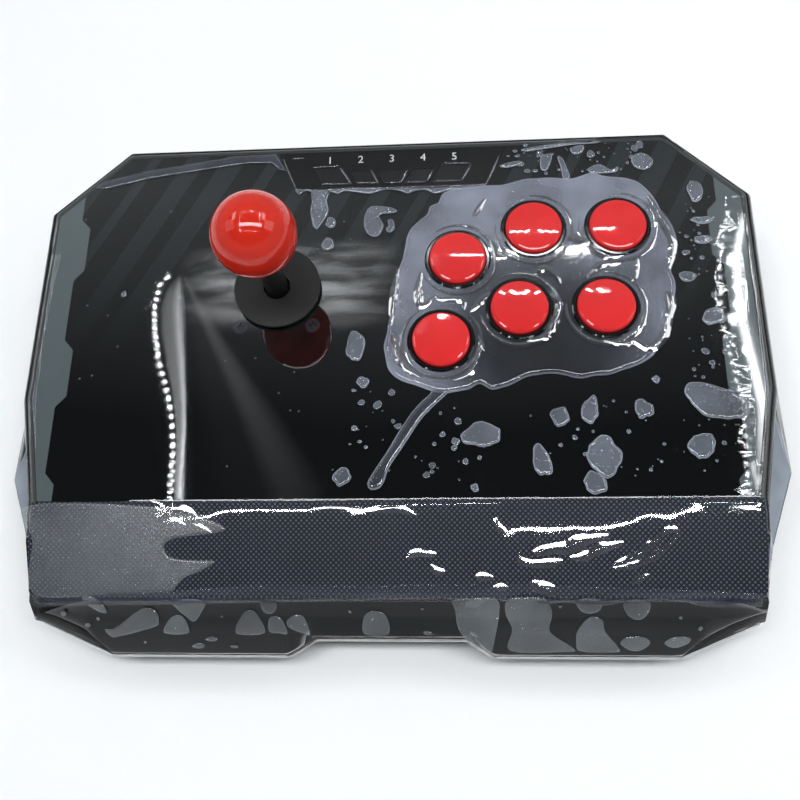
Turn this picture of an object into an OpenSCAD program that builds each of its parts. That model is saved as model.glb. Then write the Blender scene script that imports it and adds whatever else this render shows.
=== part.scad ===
/* [Housing] */
// Width of the body across its straight sides
body_w = 330; // [310:1:360]
// Depth of the body from the back wall to the front lip
body_d = 236; // [225:1:260]
// Height of the playing deck above the table
deck_z = 52; // [50:0.5:60]
// Wall of the moulded shells
wall = 2.5; // [2:0.1:3]
// Thickness of the deck under the face panel
deck_t = 3; // [2.5:0.1:4]
// Straight length of the back edge
back_flat_w = 257; // [220:1:280]
// How far the back corners are cut towards the front
back_cut = 35; // [20:1:50]
// How far the deck edge lies inside the widest line of the body
deck_inset = 5.2; // [4:0.1:6]
// How far the shoulder of the side wall lies inside the widest line
shoulder_inset = 2; // [1:0.1:3]
// Drop of the shoulder below the deck
shoulder_drop = 4; // [2:0.1:6]
// Depth of the seam between the two shells below the deck
seam_drop = 14; // [12.5:0.5:16]
// How far the tip of a side wing stands out from the straight side
wing_out = 4; // [2:0.5:6]

/* [Front] */
// Front to back length of the wrist rest
wrist_d = 39; // [30:1:45]
// Drop of the wrist rest from the deck to its front edge
wrist_drop = 10.5; // [6:0.5:11]
// Thickness of the wrist rest pad
wrist_t = 2.4; // [1.5:0.1:3]
// Width of the body at the front of the wrist rest
front_w = 304; // [290:1:320]
// Reach of the front ledge beyond the wrist rest
ledge_d = 20.5; // [16:0.5:26]
// Reach of the lip beyond the crease of the ledge
lip_d = 7.5; // [5:0.5:9]
// Straight width of the front lip between its cut corners
lip_w = 239; // [200:1:260]
// Outer width of the notch in the front lip
notch_w = 87; // [70:1:110]
// Inner width of the notch in the front lip
notch_inner_w = 64; // [50:1:68]

/* [Face panel] */
// Thickness of the face panel
panel_t = 1.5; // [1:0.1:2]
// How far the face panel lies inside the widest line of the body
panel_inset = 7; // [6.5:0.1:9]
// Width of the key strip at the back edge
strip_back_w = 109; // [100:1:130]
// Width of the key strip at its front edge
strip_front_w = 88.4; // [80:0.1:98]
// Front to back depth of the key strip
strip_d = 21; // [18:0.5:26]

/* [Lever] */
// Distance of the lever to the left of the middle
lever_left = 50.5; // [40:0.5:60]
// Distance of the lever behind the middle
lever_back = 38.5; // [25:0.5:45]
// Radius of the ball top
ball_r = 17.5; // [15:0.5:20]
// Height of the ball centre above the deck
ball_rise = 49.5; // [42:0.5:56]
// Depth of the lever pivot below the deck
pivot_drop = 14; // [13:0.5:15]
// Radius of the lever shaft
shaft_r = 3.9; // [3.5:0.1:4.2]
// Radius of the sleeve over the shaft
sleeve_r = 5.1; // [4.9:0.1:5.6]
// Radius of the dust washer over the panel
dust_r = 19.5; // [18:0.5:22]
// Largest tilt of the lever in degrees
lever_tilt = 9; // [6:1:9]
// Spacing of the lever screws across
lever_screw_dx = 32.6; // [31:0.1:36]
// Spacing of the lever screws front to back
lever_screw_dy = 35.6; // [35:0.1:40]

/* [Buttons] */
// Radius of the button rim
rim_r = 15; // [14.6:0.1:16]
// Height of the button rim above the deck
rim_h = 2.3; // [1.5:0.1:3]
// Radius of the button plunger
plunger_r = 12.6; // [12:0.1:12.8]
// Height of the plunger above the deck
plunger_h = 4.7; // [4:0.1:6]
// Travel of a button
button_travel = 3; // [2:0.1:3]
// Distance between two neighbouring buttons of a row, across
button_pitch = 37.3; // [36.8:0.1:39]
// Distance between the rows, front to back
row_pitch = 39.4; // [38:0.1:44]

/* [Keys] */
// Front to back size of an outer key
key_outer_d = 9; // [8:0.1:10]
// Front to back size of an inner key
key_inner_d = 6.5; // [6:0.1:8]
// Travel of a key
key_travel = 0.8; // [0.4:0.1:1]

/* [Fit] */
// Clearance around parts that drop into a recess
fit_gap = 0.2; // [0.1:0.05:0.3]
// Running clearance on a radius
run_gap = 0.06; // [0.02:0.01:0.09]
// Clearance between the protective film and the body
film_gap = 0.3; // [0.3:0.05:0.5]
// Thickness of the protective film
film_t = 0.25; // [0.2:0.05:0.4]

/* [Hidden] */
$fn = 64;
// Overrun of every cut past the face it opens
over = 1;

// Body levels and places
half_w = body_w / 2;
half_d = body_d / 2;
foot_h = 3;
foot_sunk = 1;
floor_z = foot_h + wall;
seam_z = deck_z - seam_drop;
under_z = deck_z - deck_t - panel_t;
panel_z = deck_z - panel_t;
wing_drop = 4;
crease_drop = 8;
lip_drop = 14;
lip_t = 2;
wing_z = seam_z - wing_drop;
crease_z = seam_z - crease_drop;
lip_z = seam_z - lip_drop;
seam_y = ledge_d - half_d;
crease_y = lip_d - half_d;
wrist_y = seam_y + wrist_d;
corner_soft = 2.4;
shoulder_bend_share = 0.4;
soft_steps = 2;

// Side line of the upper housing, where it starts to draw in and where the wrist rest starts
taper_from_front = 106;
taper_y = taper_from_front - half_d;
taper_in = 9;
// Tip of the side wing and the end of its slant
wing_tip_from_front = 74;
wing_end_from_front = 43;
wing_tip_y = wing_tip_from_front - half_d;
wing_end_y = wing_end_from_front - half_d;
wing_in = 7.5;
wing_join_share = 0.7;
// Front corner cut of the lip
lip_corner_d = 13.5;
front_corner_y = lip_corner_d - half_d;
crease_corner_in = 25;
notch_d = 6.8;
base_in = 6;

// Widest line of the upper housing, right half from the back to the front
upper_half = [
    [back_flat_w / 2, half_d],
    [half_w, half_d - back_cut],
    [half_w, taper_y],
    [half_w - taper_in * wing_join_share, taper_y + (wrist_y - taper_y) * wing_join_share],
    [half_w - taper_in, wrist_y],
    [front_w / 2, seam_y]
];
// Lines of the lower shell at its levels, right half from the back to the front
seam_half = concat(upper_half, [[lip_w / 2, seam_y], [notch_w / 2, seam_y], [notch_inner_w / 2, seam_y]]);
ledge_share = wing_drop / crease_drop;
wing_y = seam_y + (crease_y - seam_y) * ledge_share;
wing_half = [
    [back_flat_w / 2, half_d],
    [half_w, half_d - back_cut],
    [half_w, taper_y],
    [half_w + wing_out, wing_tip_y],
    [half_w - wing_in, wing_end_y],
    [front_w / 2, (seam_y + front_corner_y) / 2],
    [(lip_w + front_w - crease_corner_in) / 4, wing_y],
    [notch_w / 2, wing_y],
    [notch_inner_w / 2, wing_y]
];
crease_half = [
    [back_flat_w / 2, half_d],
    [half_w, half_d - back_cut],
    [half_w, taper_y],
    [half_w + wing_out, wing_tip_y],
    [half_w - wing_in, wing_end_y],
    [front_w / 2, front_corner_y],
    [front_w / 2 - crease_corner_in, crease_y],
    [notch_w / 2, crease_y],
    [notch_inner_w / 2, crease_y]
];
lip_half = [
    [back_flat_w / 2, half_d],
    [half_w, half_d - back_cut],
    [half_w, taper_y],
    [half_w + wing_out, wing_tip_y],
    [half_w - wing_in, wing_end_y],
    [front_w / 2, front_corner_y],
    [lip_w / 2, -half_d],
    [notch_w / 2, -half_d],
    [notch_inner_w / 2, notch_d - half_d]
];
base_half = [
    [back_flat_w / 2, half_d],
    [half_w, half_d - back_cut],
    [half_w, taper_y],
    [half_w + wing_out, wing_tip_y],
    [half_w - wing_in, wing_end_y],
    [front_w / 2, front_corner_y],
    [lip_w / 2, -half_d],
    [notch_w / 2, -half_d],
    [notch_inner_w / 2, -half_d]
];

// A whole outline from its right half, clockwise from above
function whole(half) = concat(half, [for (i = [len(half) - 1 : -1 : 0]) [-half[i][0], half[i][1]]]);
// Unit vector to the right of a step from a to b, which is inwards on a clockwise outline
function right_of(a, b) = [(b - a)[1], -(b - a)[0]] / norm(b - a);
// An outline moved inwards by a gap, or outwards where the gap is negative
function inset(pts, gap) = [
    for (i = [0 : len(pts) - 1])
        let (n = len(pts), b = pts[i], u = right_of(pts[(i + n - 1) % n], b), v = right_of(b, pts[(i + 1) % n]))
            b + (u + v) * gap / (1 + u * v)
];
// A point on the curve that rounds the corner b between a and c
function soft_point(a, b, c, cut, t) =
    let (s = b + (a - b) / norm(a - b) * cut, e = b + (c - b) / norm(c - b) * cut)
        (1 - t) * (1 - t) * s + 2 * t * (1 - t) * b + t * t * e;
// An outline with each corner rounded by a short curve
function soften(pts, cut) = [
    for (i = [0 : len(pts) - 1])
        for (k = [0 : soft_steps])
            let (n = len(pts))
                soft_point(pts[(i + n - 1) % n], pts[i], pts[(i + 1) % n], cut, k / soft_steps)
];
function soft_line(half, gap) = soften(inset(whole(half), gap), corner_soft);

// A solid skinned over rings of [outline, height], from the lowest to the highest
module skin(rings) {
    n = len(rings[0][0]);
    m = len(rings);
    points = [for (r = rings) for (p = r[0]) [p[0], p[1], r[1]]];
    floor_face = [for (i = [n - 1 : -1 : 0]) i];
    roof_face = [for (i = [0 : n - 1]) (m - 1) * n + i];
    sides = [
        for (k = [0 : m - 2])
            for (i = [0 : n - 1])
                let (j = (i + 1) % n, lo = k * n, hi = lo + n)
                    each [[hi + j, hi + i, lo + i], [hi + j, lo + i, lo + j]]
    ];
    polyhedron(points, concat([floor_face, roof_face], sides));
}

// A prism along X from points in the YZ plane
module bar_x(points, length) {
    rotate([90, 0, 90]) linear_extrude(height = length, center = true) polygon(points);
}

// Everything in front of the deck and above the wrist rest line, moved down by drop
module over_wrist(drop) {
    fall = wrist_drop / wrist_d;
    ahead = ledge_d + body_d / 4;
    bar_x([
        [wrist_y, deck_z - drop],
        [wrist_y - ahead, deck_z - drop - ahead * fall],
        [wrist_y - ahead, deck_z + body_d],
        [wrist_y, deck_z + body_d]
    ], body_w * 2);
}

// Outer form of the upper housing, grown by a gap
module upper_form(grow) {
    difference() {
        skin([
            [soft_line(upper_half, -grow), seam_z - grow],
            [soft_line(upper_half, shoulder_inset - grow), deck_z - shoulder_drop],
            [soft_line(upper_half, (shoulder_inset + deck_inset) / 2 - grow), deck_z - shoulder_drop * shoulder_bend_share + grow / 2],
            [soft_line(upper_half, deck_inset - grow), deck_z + grow]
        ]);
        over_wrist(-grow);
    }
}

// Outer form of the lower shell, grown by a gap
module lower_form(grow) {
    skin([
        [soft_line(base_half, base_in - grow), foot_h],
        [soft_line(lip_half, -grow), lip_z - lip_t - grow],
        [soft_line(lip_half, -grow), lip_z + grow / 2],
        [soft_line(crease_half, -grow), crease_z + grow / 2],
        [soft_line(wing_half, -grow), wing_z + grow / 2],
        [soft_line(seam_half, -grow), seam_z]
    ]);
}

// Room inside the upper housing
module upper_room() {
    slope_t = wrist_t + wall;
    difference() {
        skin([
            [inset(whole(upper_half), wall), seam_z - over],
            [inset(whole(upper_half), wall + shoulder_inset), deck_z - shoulder_drop],
            [inset(whole(upper_half), wall + shoulder_inset), under_z]
        ]);
        over_wrist(slope_t);
    }
}

// Room inside the lower shell
module lower_room() {
    skin([
        [inset(whole(base_half), base_in + wall), floor_z],
        [inset(whole(lip_half), wall), lip_z - lip_t],
        [inset(whole(lip_half), wall), lip_z],
        [inset(whole(crease_half), wall), crease_z],
        [inset(whole(wing_half), wall), wing_z],
        [inset(whole(seam_half), wall), seam_z + over]
    ]);
}

// Places of the housing screws, in shares of the half width and half depth
screw_place_shares = [[0.9, 0.5], [0.905, -0.2], [0.86, -0.6], [0.42, 0.86]];
screw_places = [
    for (s = [-1, 1]) for (p = screw_place_shares) [s * p[0] * half_w, p[1] * half_d]
];
boss_r = 4.2;
post_r = 5.4;
screw_r = 1.5;
screw_hole_r = 1.3;
screw_pass_r = 1.8;
screw_head_r = 2.9;
screw_head_h = 1.8;
head_pocket_r = 3.5;
head_seat_drop = 8;
screw_reach = 4.2;
head_seat_z = seam_z - head_seat_drop;
screw_tip_z = seam_z + screw_reach;

// Face panel and key strip outlines
panel_line = inset(whole(upper_half), panel_inset);
panel_back = half_d - panel_inset;
strip_front_y = panel_back - strip_d;
strip_line = [
    [strip_back_w / 2, panel_back],
    [strip_front_w / 2, strip_front_y],
    [-strip_front_w / 2, strip_front_y],
    [-strip_back_w / 2, panel_back]
];

// Key outlines, mirrored about the middle key
key_front_in = 3.2;
key_front_y = strip_front_y + key_front_in;
key_lean = 4.7;
key_mid_front = 3.4;
key_mid_back = 7;
key_gap = 3.2;
key_inner_w = 9.2;
key_outer_w = 13.2;
key_edge_gap = 0.3;
key_flange = 1.1;
key_flange_t = 1.1;
key_float = 0.1;
inner_lean = key_mid_back - key_mid_front;
key_inner_x = key_mid_front + key_gap;
key_outer_x = key_inner_x + key_inner_w + key_gap;
function key_right(x, w, lean, d) = [
    [x + lean, key_front_y + d], [x + w + lean, key_front_y + d], [x + w, key_front_y], [x, key_front_y]
];
function key_flip(line) = [for (i = [len(line) - 1 : -1 : 0]) [-line[i][0], line[i][1]]];
key_mid_line = [
    [-key_mid_back, key_front_y + key_inner_d], [key_mid_back, key_front_y + key_inner_d],
    [key_mid_front, key_front_y], [-key_mid_front, key_front_y]
];
key_inner_line = key_right(key_inner_x, key_inner_w, inner_lean, key_inner_d);
key_outer_line = key_right(key_outer_x, key_outer_w, key_lean, key_outer_d);
key_lines = [
    key_flip(key_outer_line), key_flip(key_inner_line), key_mid_line, key_inner_line, key_outer_line
];
function middle(line) = (line[0] + line[1] + line[2] + line[3]) / 4;

// Key board under the keys
key_board_t = 1.6;
key_board_w = 88;
key_board_d = 17;
key_switch_w = 6;
key_switch_h = 3.1;
key_switch_knob_r = 1.7;
key_switch_knob_h = 0.6;
key_touch = 0.1;
key_bottom_z = under_z - key_float - key_flange_t;
key_board_z = key_bottom_z - key_travel - key_touch - key_switch_knob_h - key_switch_h - key_board_t;
key_post_r = 2.6;
key_post_x = key_board_w / 2 - key_post_r;
key_board_y = key_front_y + key_inner_d / 2;
key_post_y = key_board_d / 2 - key_post_r;

// Lever levels and sizes, from the pivot down and up
lever_x = -lever_left;
lever_y = lever_back;
pivot_z = deck_z - pivot_drop;
ball_z = deck_z + ball_rise;
pivot_r = 8;
pivot_cap = 6.2;
ring_r = 11;
ring_h = 8;
trunnion_r = 2;
trunnion_end = 15.6;
pin_r = 1.6;
pin_end = ring_r - fit_gap;
room_r = 12.3;
barrel_r = 16.4;
plate_w = 56;
plate_d = 50;
plate_t = 6;
lever_depth = 17.4;
lever_low_z = pivot_z - lever_depth;
switch_l = 19.8;
switch_d = 10;
switch_h = 6.4;
switch_z = lever_low_z - switch_h;
lever_board_t = 1.6;
lever_board_z = switch_z - lever_board_t;
lever_board_w = 52;
lever_board_r = 14;
gate_t = 4.4;
gate_z = lever_board_z - gate_t;
gate_half = 8.9;
leg_w = 5;
shaft_end_in = 1.2;
shaft_low_z = gate_z + shaft_end_in;
tip_r = 3;
tip_play = 0.05;
tip_l = 12;
ball_neck_r = 6.5;
ball_neck = 1.6;
ball_bore_depth = tip_l + over;
sleeve_clear = 2.3;
sleeve_low_z = pivot_z + pivot_cap + sleeve_clear;
sleeve_top_z = ball_z - ball_r - ball_neck;
sleeve_play = 0.06;
e_ring_r = 6.5;
e_ring_t = 0.8;
e_ring_z = lever_board_z + lever_board_t;
actuator_r = 8.2;
actuator_h = 8;
actuator_z = e_ring_z + e_ring_t;
knob_reach = 12.25;
switch_in = 13.3;
switch_knob_r = 1.2;
spring_wire = 0.55;
spring_r = 6;
spring_turns = 4;
spring_low_z = actuator_z + actuator_h + spring_wire;
spring_high_z = pivot_z - pivot_cap - spring_wire;
deck_hole_r = 12;
inner_washer_r = 17;
inner_washer_hole_r = 7.7;
inner_washer_t = 1;
washer_pocket_r = 20.4;
washer_pocket_t = 1.7;
dust_t = 1.4;
dust_rise = 2.1;
dust_z = deck_z + dust_rise;
dust_hole_play = 1;
dust_hole_r = sleeve_r + dust_hole_play;
lever_screw_r = 2;
lever_screw_hole_r = 1.9;
lever_screw_pass_r = 2.2;
lever_head_r = 3.3;
lever_head_h = 1.9;
lever_head_edge = 0.3;
lever_screw_l = 13;
lever_boss_r = 4.4;

// Button places, counted from the lever
buttons_right = 80.9;
buttons_behind = 12.3;
first_button_x = lever_x + buttons_right;
first_button_y = lever_y + buttons_behind;
step_x = 34.3;
step_y = 14.4;
row_shift = 7.6;
button_places = [
    [first_button_x, first_button_y],
    [first_button_x + step_x, first_button_y + step_y],
    [first_button_x + step_x + button_pitch, first_button_y + step_y],
    [first_button_x - row_shift, first_button_y - row_pitch],
    [first_button_x + step_x - row_shift, first_button_y + step_y - row_pitch],
    [first_button_x + step_x + button_pitch - row_shift, first_button_y + step_y - row_pitch]
];
barrel_wall = 0.95;
button_in_r = plunger_r + run_gap;
button_barrel_r = button_in_r + barrel_wall;
button_hole_r = button_barrel_r + fit_gap;
button_floor_t = 2;
button_depth = 17.5;
button_floor_z = under_z - button_depth;
nut_wall = 3.2;
nut_r = button_barrel_r + nut_wall;
nut_t = 4;
rim_slope = 0.9;
cap_round = 1.3;
cap_crown = 0.35;
cap_t = 1.6;
skirt_l = 9;
stem_r = 2;
stem_play = 0.4;
micro_l = 19.8;
micro_d = 6.4;
micro_h = 10.3;
micro_knob_r = 1.3;
micro_knob_h = 0.4;
micro_z = button_floor_z - micro_h;
lug_w = 3;
lug_t = 0.6;
lug_l = 6;
ear_t = 1.4;
ear_w = 6;
ear_l = 7;
thread_turns = 8;
thread_pitch = 1.5;
thread_d = 0.35;
stem_low_z = micro_z + micro_h + micro_knob_h + button_travel + key_touch;

// Main board in the lower shell
board_w = 92;
board_d = 46;
board_t = 1.6;
board_x = 62;
board_back = 34;
board_y = seam_y + board_back;
board_post_h = 5;
board_post_r = 3.4;
board_z = floor_z + board_post_h;
board_hole_in = 4;
board_screw_r = 1.25;
board_head_r = 2.4;
board_head_h = 1.4;

// Cable outlet in the back wall
grommet_x = 30;
grommet_rise = 10;
grommet_z = foot_h + grommet_rise;
grommet_r = 5;
grommet_bore_r = 2.9;
grommet_flange_r = 7;
grommet_flange_t = 2;
grommet_seat_play = 1;
grommet_seat_r = grommet_flange_r + grommet_seat_play;
grommet_boss_t = 2;
grommet_slot_t = wall + grommet_boss_t;
grommet_y = half_d - base_in;

// Feet under the lower shell
foot_r = 10;
foot_place_shares = [[0.82, 0.72], [0.8, -0.74]];
foot_places = [
    for (s = [-1, 1]) for (p = foot_place_shares) [s * p[0] * half_w, p[1] * half_d]
];

module at_buttons() {
    for (p = button_places) translate([p[0], p[1], 0]) children();
}

module at_lever_screws() {
    for (x = [-1, 1])
        for (y = [-1, 1])
            translate([lever_x + x * lever_screw_dx / 2, lever_y + y * lever_screw_dy / 2, 0]) children();
}

// Conical seat for the head of a lever screw, flush with the deck
module screw_seat() {
    translate([0, 0, deck_z - lever_head_h - tip_play]) cylinder(
        r1 = lever_screw_pass_r, r2 = lever_head_r + run_gap, h = lever_head_h - lever_head_edge
    );
    translate([0, 0, deck_z - lever_head_edge - tip_play * 2]) cylinder(r = lever_head_r + run_gap, h = over);
}

module at_key_posts() {
    for (x = [-1, 1])
        for (y = [-1, 1])
            translate([x * key_post_x, key_board_y + y * key_post_y, 0]) children();
}

module at_board_posts() {
    for (x = [-1, 1])
        for (y = [-1, 1])
            translate([
                board_x + x * (board_w / 2 - board_hole_in), board_y + y * (board_d / 2 - board_hole_in), 0
            ]) children();
}

// The face panel's outline, drawn up to the wrist rest and grown by a gap
module panel_shape(gap) {
    intersection() {
        polygon(inset(panel_line, -gap));
        translate([-body_w, wrist_y + fit_gap - gap]) square([body_w * 2, body_d]);
    }
}

module key_windows(gap, low_z, high_z) {
    for (line = key_lines)
        translate([0, 0, low_z]) linear_extrude(height = high_z - low_z) polygon(inset(line, -gap));
}

// Lower shell: a tray with wings at the sides and a notched lip at the front
module lower_shell() {
    color("#202326") difference() {
        union() {
            difference() {
                lower_form(0);
                lower_room();
            }
            for (p = screw_places)
                translate([p[0], p[1], foot_h]) cylinder(r = post_r, h = seam_z - foot_h);
            at_board_posts() translate([0, 0, floor_z - wall / 2]) cylinder(r = board_post_r, h = board_post_h + wall / 2);
            floor_ribs();
            translate([grommet_x, grommet_y + wall, grommet_z])
                rotate([90, 0, 0]) cylinder(r = grommet_seat_r, h = grommet_slot_t + wall);
        }
        for (p = screw_places)
            translate([p[0], p[1], 0]) {
                translate([0, 0, foot_h - over]) cylinder(r = head_pocket_r, h = head_seat_z - foot_h + over);
                translate([0, 0, foot_h]) cylinder(r = screw_pass_r, h = seam_z - foot_h + over);
            }
        at_board_posts() translate([0, 0, floor_z]) cylinder(r = board_screw_r - run_gap, h = board_post_h + over);
        for (p = foot_places)
            translate([p[0], p[1], foot_h - over]) cylinder(r = foot_r + fit_gap, h = foot_sunk + over);
        translate([grommet_x, grommet_y, grommet_z]) rotate([-90, 0, 0]) cylinder(r = grommet_seat_r, h = base_in * 2);
        translate([grommet_x, grommet_y, grommet_z])
            rotate([90, 0, 0]) cylinder(r = grommet_r + run_gap, h = base_in * 4, center = true);
    }
}

// Stiffening ribs across the floor of the lower shell
rib_t = 1.6;
rib_h = 5;
rib_place_shares = [-0.55, 0.55];
rib_back_share = 0.66;
module floor_ribs() {
    intersection() {
        union() {
            for (s = rib_place_shares)
                translate([s * half_w - rib_t / 2, -half_d, foot_h]) cube([rib_t, body_d, rib_h]);
            translate([-half_w, half_d * rib_back_share, foot_h]) cube([body_w, rib_t, rib_h]);
        }
        lower_form(-wall / 2);
    }
}

// Upper housing: deck, side walls and the bed of the wrist rest
module upper_housing() {
    color("#26292c") difference() {
        union() {
            difference() {
                upper_form(0);
                upper_room();
                over_wrist(wrist_t);
            }
            intersection() {
                union() {
                    for (p = screw_places)
                        translate([p[0], p[1], seam_z]) cylinder(r = boss_r, h = seam_drop);
                }
                difference() {
                    upper_form(-wall / 2);
                    over_wrist(wrist_t + wall / 2);
                }
            }
            at_key_posts() translate([0, 0, key_board_z + key_board_t])
                cylinder(r = key_post_r, h = panel_z - key_board_z - key_board_t - deck_t / 2);
        }
        translate([0, 0, panel_z]) linear_extrude(height = panel_t + over) panel_shape(fit_gap);
        for (p = screw_places)
            translate([p[0], p[1], seam_z - over]) cylinder(r = screw_hole_r, h = screw_tip_z - seam_z + over);
        translate([lever_x, lever_y, under_z - over]) cylinder(r = deck_hole_r, h = deck_t + over * 2);
        at_lever_screws() translate([0, 0, under_z - over]) cylinder(r = lever_screw_pass_r, h = deck_t + over * 2);
        at_lever_screws() screw_seat();
        at_buttons() translate([0, 0, under_z - over]) cylinder(r = button_hole_r, h = deck_t + over * 2);
        key_windows(key_edge_gap, under_z - over, panel_z + over);
    }
}

// Wrist rest: a sloping pad with a grip face over the front of the housing
module wrist_rest() {
    color("#4b5058") difference() {
        intersection() {
            upper_form(0);
            over_wrist(wrist_t);
        }
        translate([-body_w, wrist_y - fit_gap, seam_z]) cube([body_w * 2, body_d, body_d]);
    }
}

// Face panel: the glossy printed sheet in the recess of the deck
module face_panel() {
    color("#17191b") difference() {
        translate([0, 0, panel_z]) linear_extrude(height = panel_t) difference() {
            panel_shape(0);
            polygon(inset(strip_line, -fit_gap));
        }
        translate([lever_x, lever_y, panel_z - over]) cylinder(r = deck_hole_r, h = panel_t + over * 2);
        at_lever_screws() translate([0, 0, panel_z - over]) cylinder(r = lever_screw_pass_r, h = panel_t + over * 2);
        at_lever_screws() screw_seat();
        at_buttons() translate([0, 0, panel_z - over]) cylinder(r = button_hole_r, h = panel_t + over * 2);
    }
}

// Key strip: the glossy plate with five windows at the back of the deck
module key_strip() {
    color("#0c0d0e") difference() {
        translate([0, 0, panel_z]) linear_extrude(height = panel_t) polygon(strip_line);
        key_windows(key_edge_gap, panel_z - over, deck_z + over);
    }
}

// One key: its cap in the window and the flange that keeps it under the deck
module key_cap(line) {
    color("#101214") union() {
        translate([0, 0, key_bottom_z + key_flange_t / 2])
            linear_extrude(height = deck_z - key_bottom_z - key_flange_t / 2) polygon(line);
        translate([0, 0, key_bottom_z]) linear_extrude(height = key_flange_t) polygon(inset(line, -key_flange));
    }
}

// Key board with a switch under each key
module key_board() {
    color("#1f5a38") difference() {
        translate([-key_board_w / 2, key_board_y - key_board_d / 2, key_board_z])
            cube([key_board_w, key_board_d, key_board_t]);
        at_key_posts() translate([0, 0, key_board_z - over]) cylinder(r = board_screw_r, h = key_board_t + over * 2);
    }
}

module key_switches() {
    color("#3a3c3e") for (line = key_lines)
        translate([middle(line)[0], middle(line)[1], key_board_z + key_board_t]) {
            translate([-key_switch_w / 2, -key_switch_w / 2, 0]) cube([key_switch_w, key_switch_w, key_switch_h]);
            cylinder(r = key_switch_knob_r, h = key_switch_h + key_switch_knob_h);
        }
}

// Lever body: mounting plate, round barrel with the trunnion bores, and four legs down to its board
module lever_body() {
    leg_x = lever_board_w / 2 - leg_w / 2;
    color("#16181a") translate([lever_x, lever_y, 0]) difference() {
        union() {
            translate([-plate_w / 2, -plate_d / 2, under_z - plate_t]) cube([plate_w, plate_d, plate_t]);
            translate([0, 0, lever_low_z]) cylinder(r = barrel_r, h = under_z - lever_low_z);
            for (x = [-1, 1])
                for (y = [-1, 1]) {
                    translate([x * lever_screw_dx / 2, y * lever_screw_dy / 2, deck_z - lever_screw_l - wall])
                        cylinder(r = lever_boss_r, h = lever_screw_l + wall - deck_z + under_z);
                    translate([x * leg_x - leg_w / 2, y * (leg_x - over) - leg_w / 2, switch_z])
                        cube([leg_w, leg_w, under_z - switch_z]);
                }
            for (a = [0, 90])
                rotate([0, 0, a]) translate([-leg_x, -rib_t / 2, lever_low_z])
                    cube([leg_x * 2, rib_t, under_z - lever_low_z]);
        }
        translate([0, 0, lever_low_z - over]) cylinder(r = room_r, h = under_z - lever_low_z + over * 2);
        translate([0, 0, under_z - washer_pocket_t]) cylinder(r = washer_pocket_r, h = washer_pocket_t + over);
        translate([0, 0, pivot_z]) rotate([0, 90, 0])
            cylinder(r = trunnion_r + run_gap, h = trunnion_end * 2 + fit_gap * 2, center = true);
        for (x = [-1, 1])
            for (y = [-1, 1])
                translate([x * lever_screw_dx / 2, y * lever_screw_dy / 2, deck_z - lever_screw_l])
                    cylinder(r = lever_screw_hole_r, h = lever_screw_l);
    }
}

// Pivot ring: turns in the lever body on two trunnions and carries the pins of the pivot ball
module pivot_ring() {
    color("#e8e6df") translate([lever_x, lever_y, pivot_z]) difference() {
        union() {
            cylinder(r = ring_r, h = ring_h, center = true);
            rotate([0, 90, 0]) cylinder(r = trunnion_r, h = trunnion_end * 2, center = true);
        }
        sphere(r = pivot_r + run_gap);
        rotate([90, 0, 0]) cylinder(r = pin_r + run_gap, h = ring_r * 3, center = true);
    }
}

// Pivot ball: the truncated ball that is fixed on the shaft and turns in the ring on two pins
module pivot_ball() {
    color("#d9d7cf") translate([lever_x, lever_y, pivot_z]) difference() {
        union() {
            intersection() {
                sphere(r = pivot_r);
                cylinder(r = pivot_r, h = pivot_cap * 2, center = true);
            }
            rotate([90, 0, 0]) cylinder(r = pin_r, h = pin_end * 2, center = true);
        }
        cylinder(r = shaft_r + tip_play, h = pivot_r * 3, center = true);
    }
}

// Lever shaft: steel rod with a thinner tip for the ball top
module lever_shaft() {
    tip_z = ball_z - ball_r - ball_neck;
    color("#b9bcc0") translate([lever_x, lever_y, 0]) union() {
        translate([0, 0, shaft_low_z]) cylinder(r = shaft_r, h = tip_z - shaft_low_z);
        translate([0, 0, tip_z]) cylinder(r = tip_r, h = tip_l);
    }
}

// Shaft sleeve: the black tube between the pivot and the ball top
module shaft_sleeve() {
    color("#141516") translate([lever_x, lever_y, sleeve_low_z]) difference() {
        cylinder(r = sleeve_r, h = sleeve_top_z - sleeve_low_z);
        translate([0, 0, -over]) cylinder(r = shaft_r + sleeve_play, h = sleeve_top_z - sleeve_low_z + over * 2);
    }
}

// Ball top with a short flat neck and a blind bore for the shaft tip
module ball_top() {
    color("#e8301c") translate([lever_x, lever_y, ball_z]) difference() {
        union() {
            sphere(r = ball_r, $fn = 96);
            translate([0, 0, -ball_r - ball_neck]) cylinder(r = ball_neck_r, h = ball_r / 2);
        }
        translate([0, 0, -ball_r - ball_neck - over]) cylinder(r = tip_r + tip_play, h = ball_bore_depth + over);
    }
}

// Points of the spring's middle line, with a closed flat turn at each end
spring_rings = 8;
spring_sides = 6;
spring_ends = 0.5;
spring_lie_share = 2.9;
function spring_height(turn) =
    let (free = spring_turns - spring_ends * 2, up = min(max((turn - spring_ends) / free, 0), 1))
        let (lie = spring_wire * spring_lie_share, lift = spring_high_z - spring_low_z - lie * spring_ends * 2)
            turn < spring_ends ? spring_low_z + lie * turn
            : turn > spring_turns - spring_ends ? spring_high_z - lie * (spring_turns - turn)
            : spring_low_z + lie * spring_ends + lift * up;
function spring_point(turn, side) =
    let (out = spring_r + spring_wire * cos(side), rise = spring_wire * sin(side))
        [out * cos(turn * 360), out * sin(turn * 360), spring_height(turn) + rise];
spring_steps = spring_turns * spring_rings;
spring_gap = min([
    for (i = [0 : spring_steps - spring_rings])
        spring_height((i + spring_rings) / spring_rings) - spring_height(i / spring_rings) - spring_wire * 2
]);
echo(least_spring_gap = spring_gap);

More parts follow.
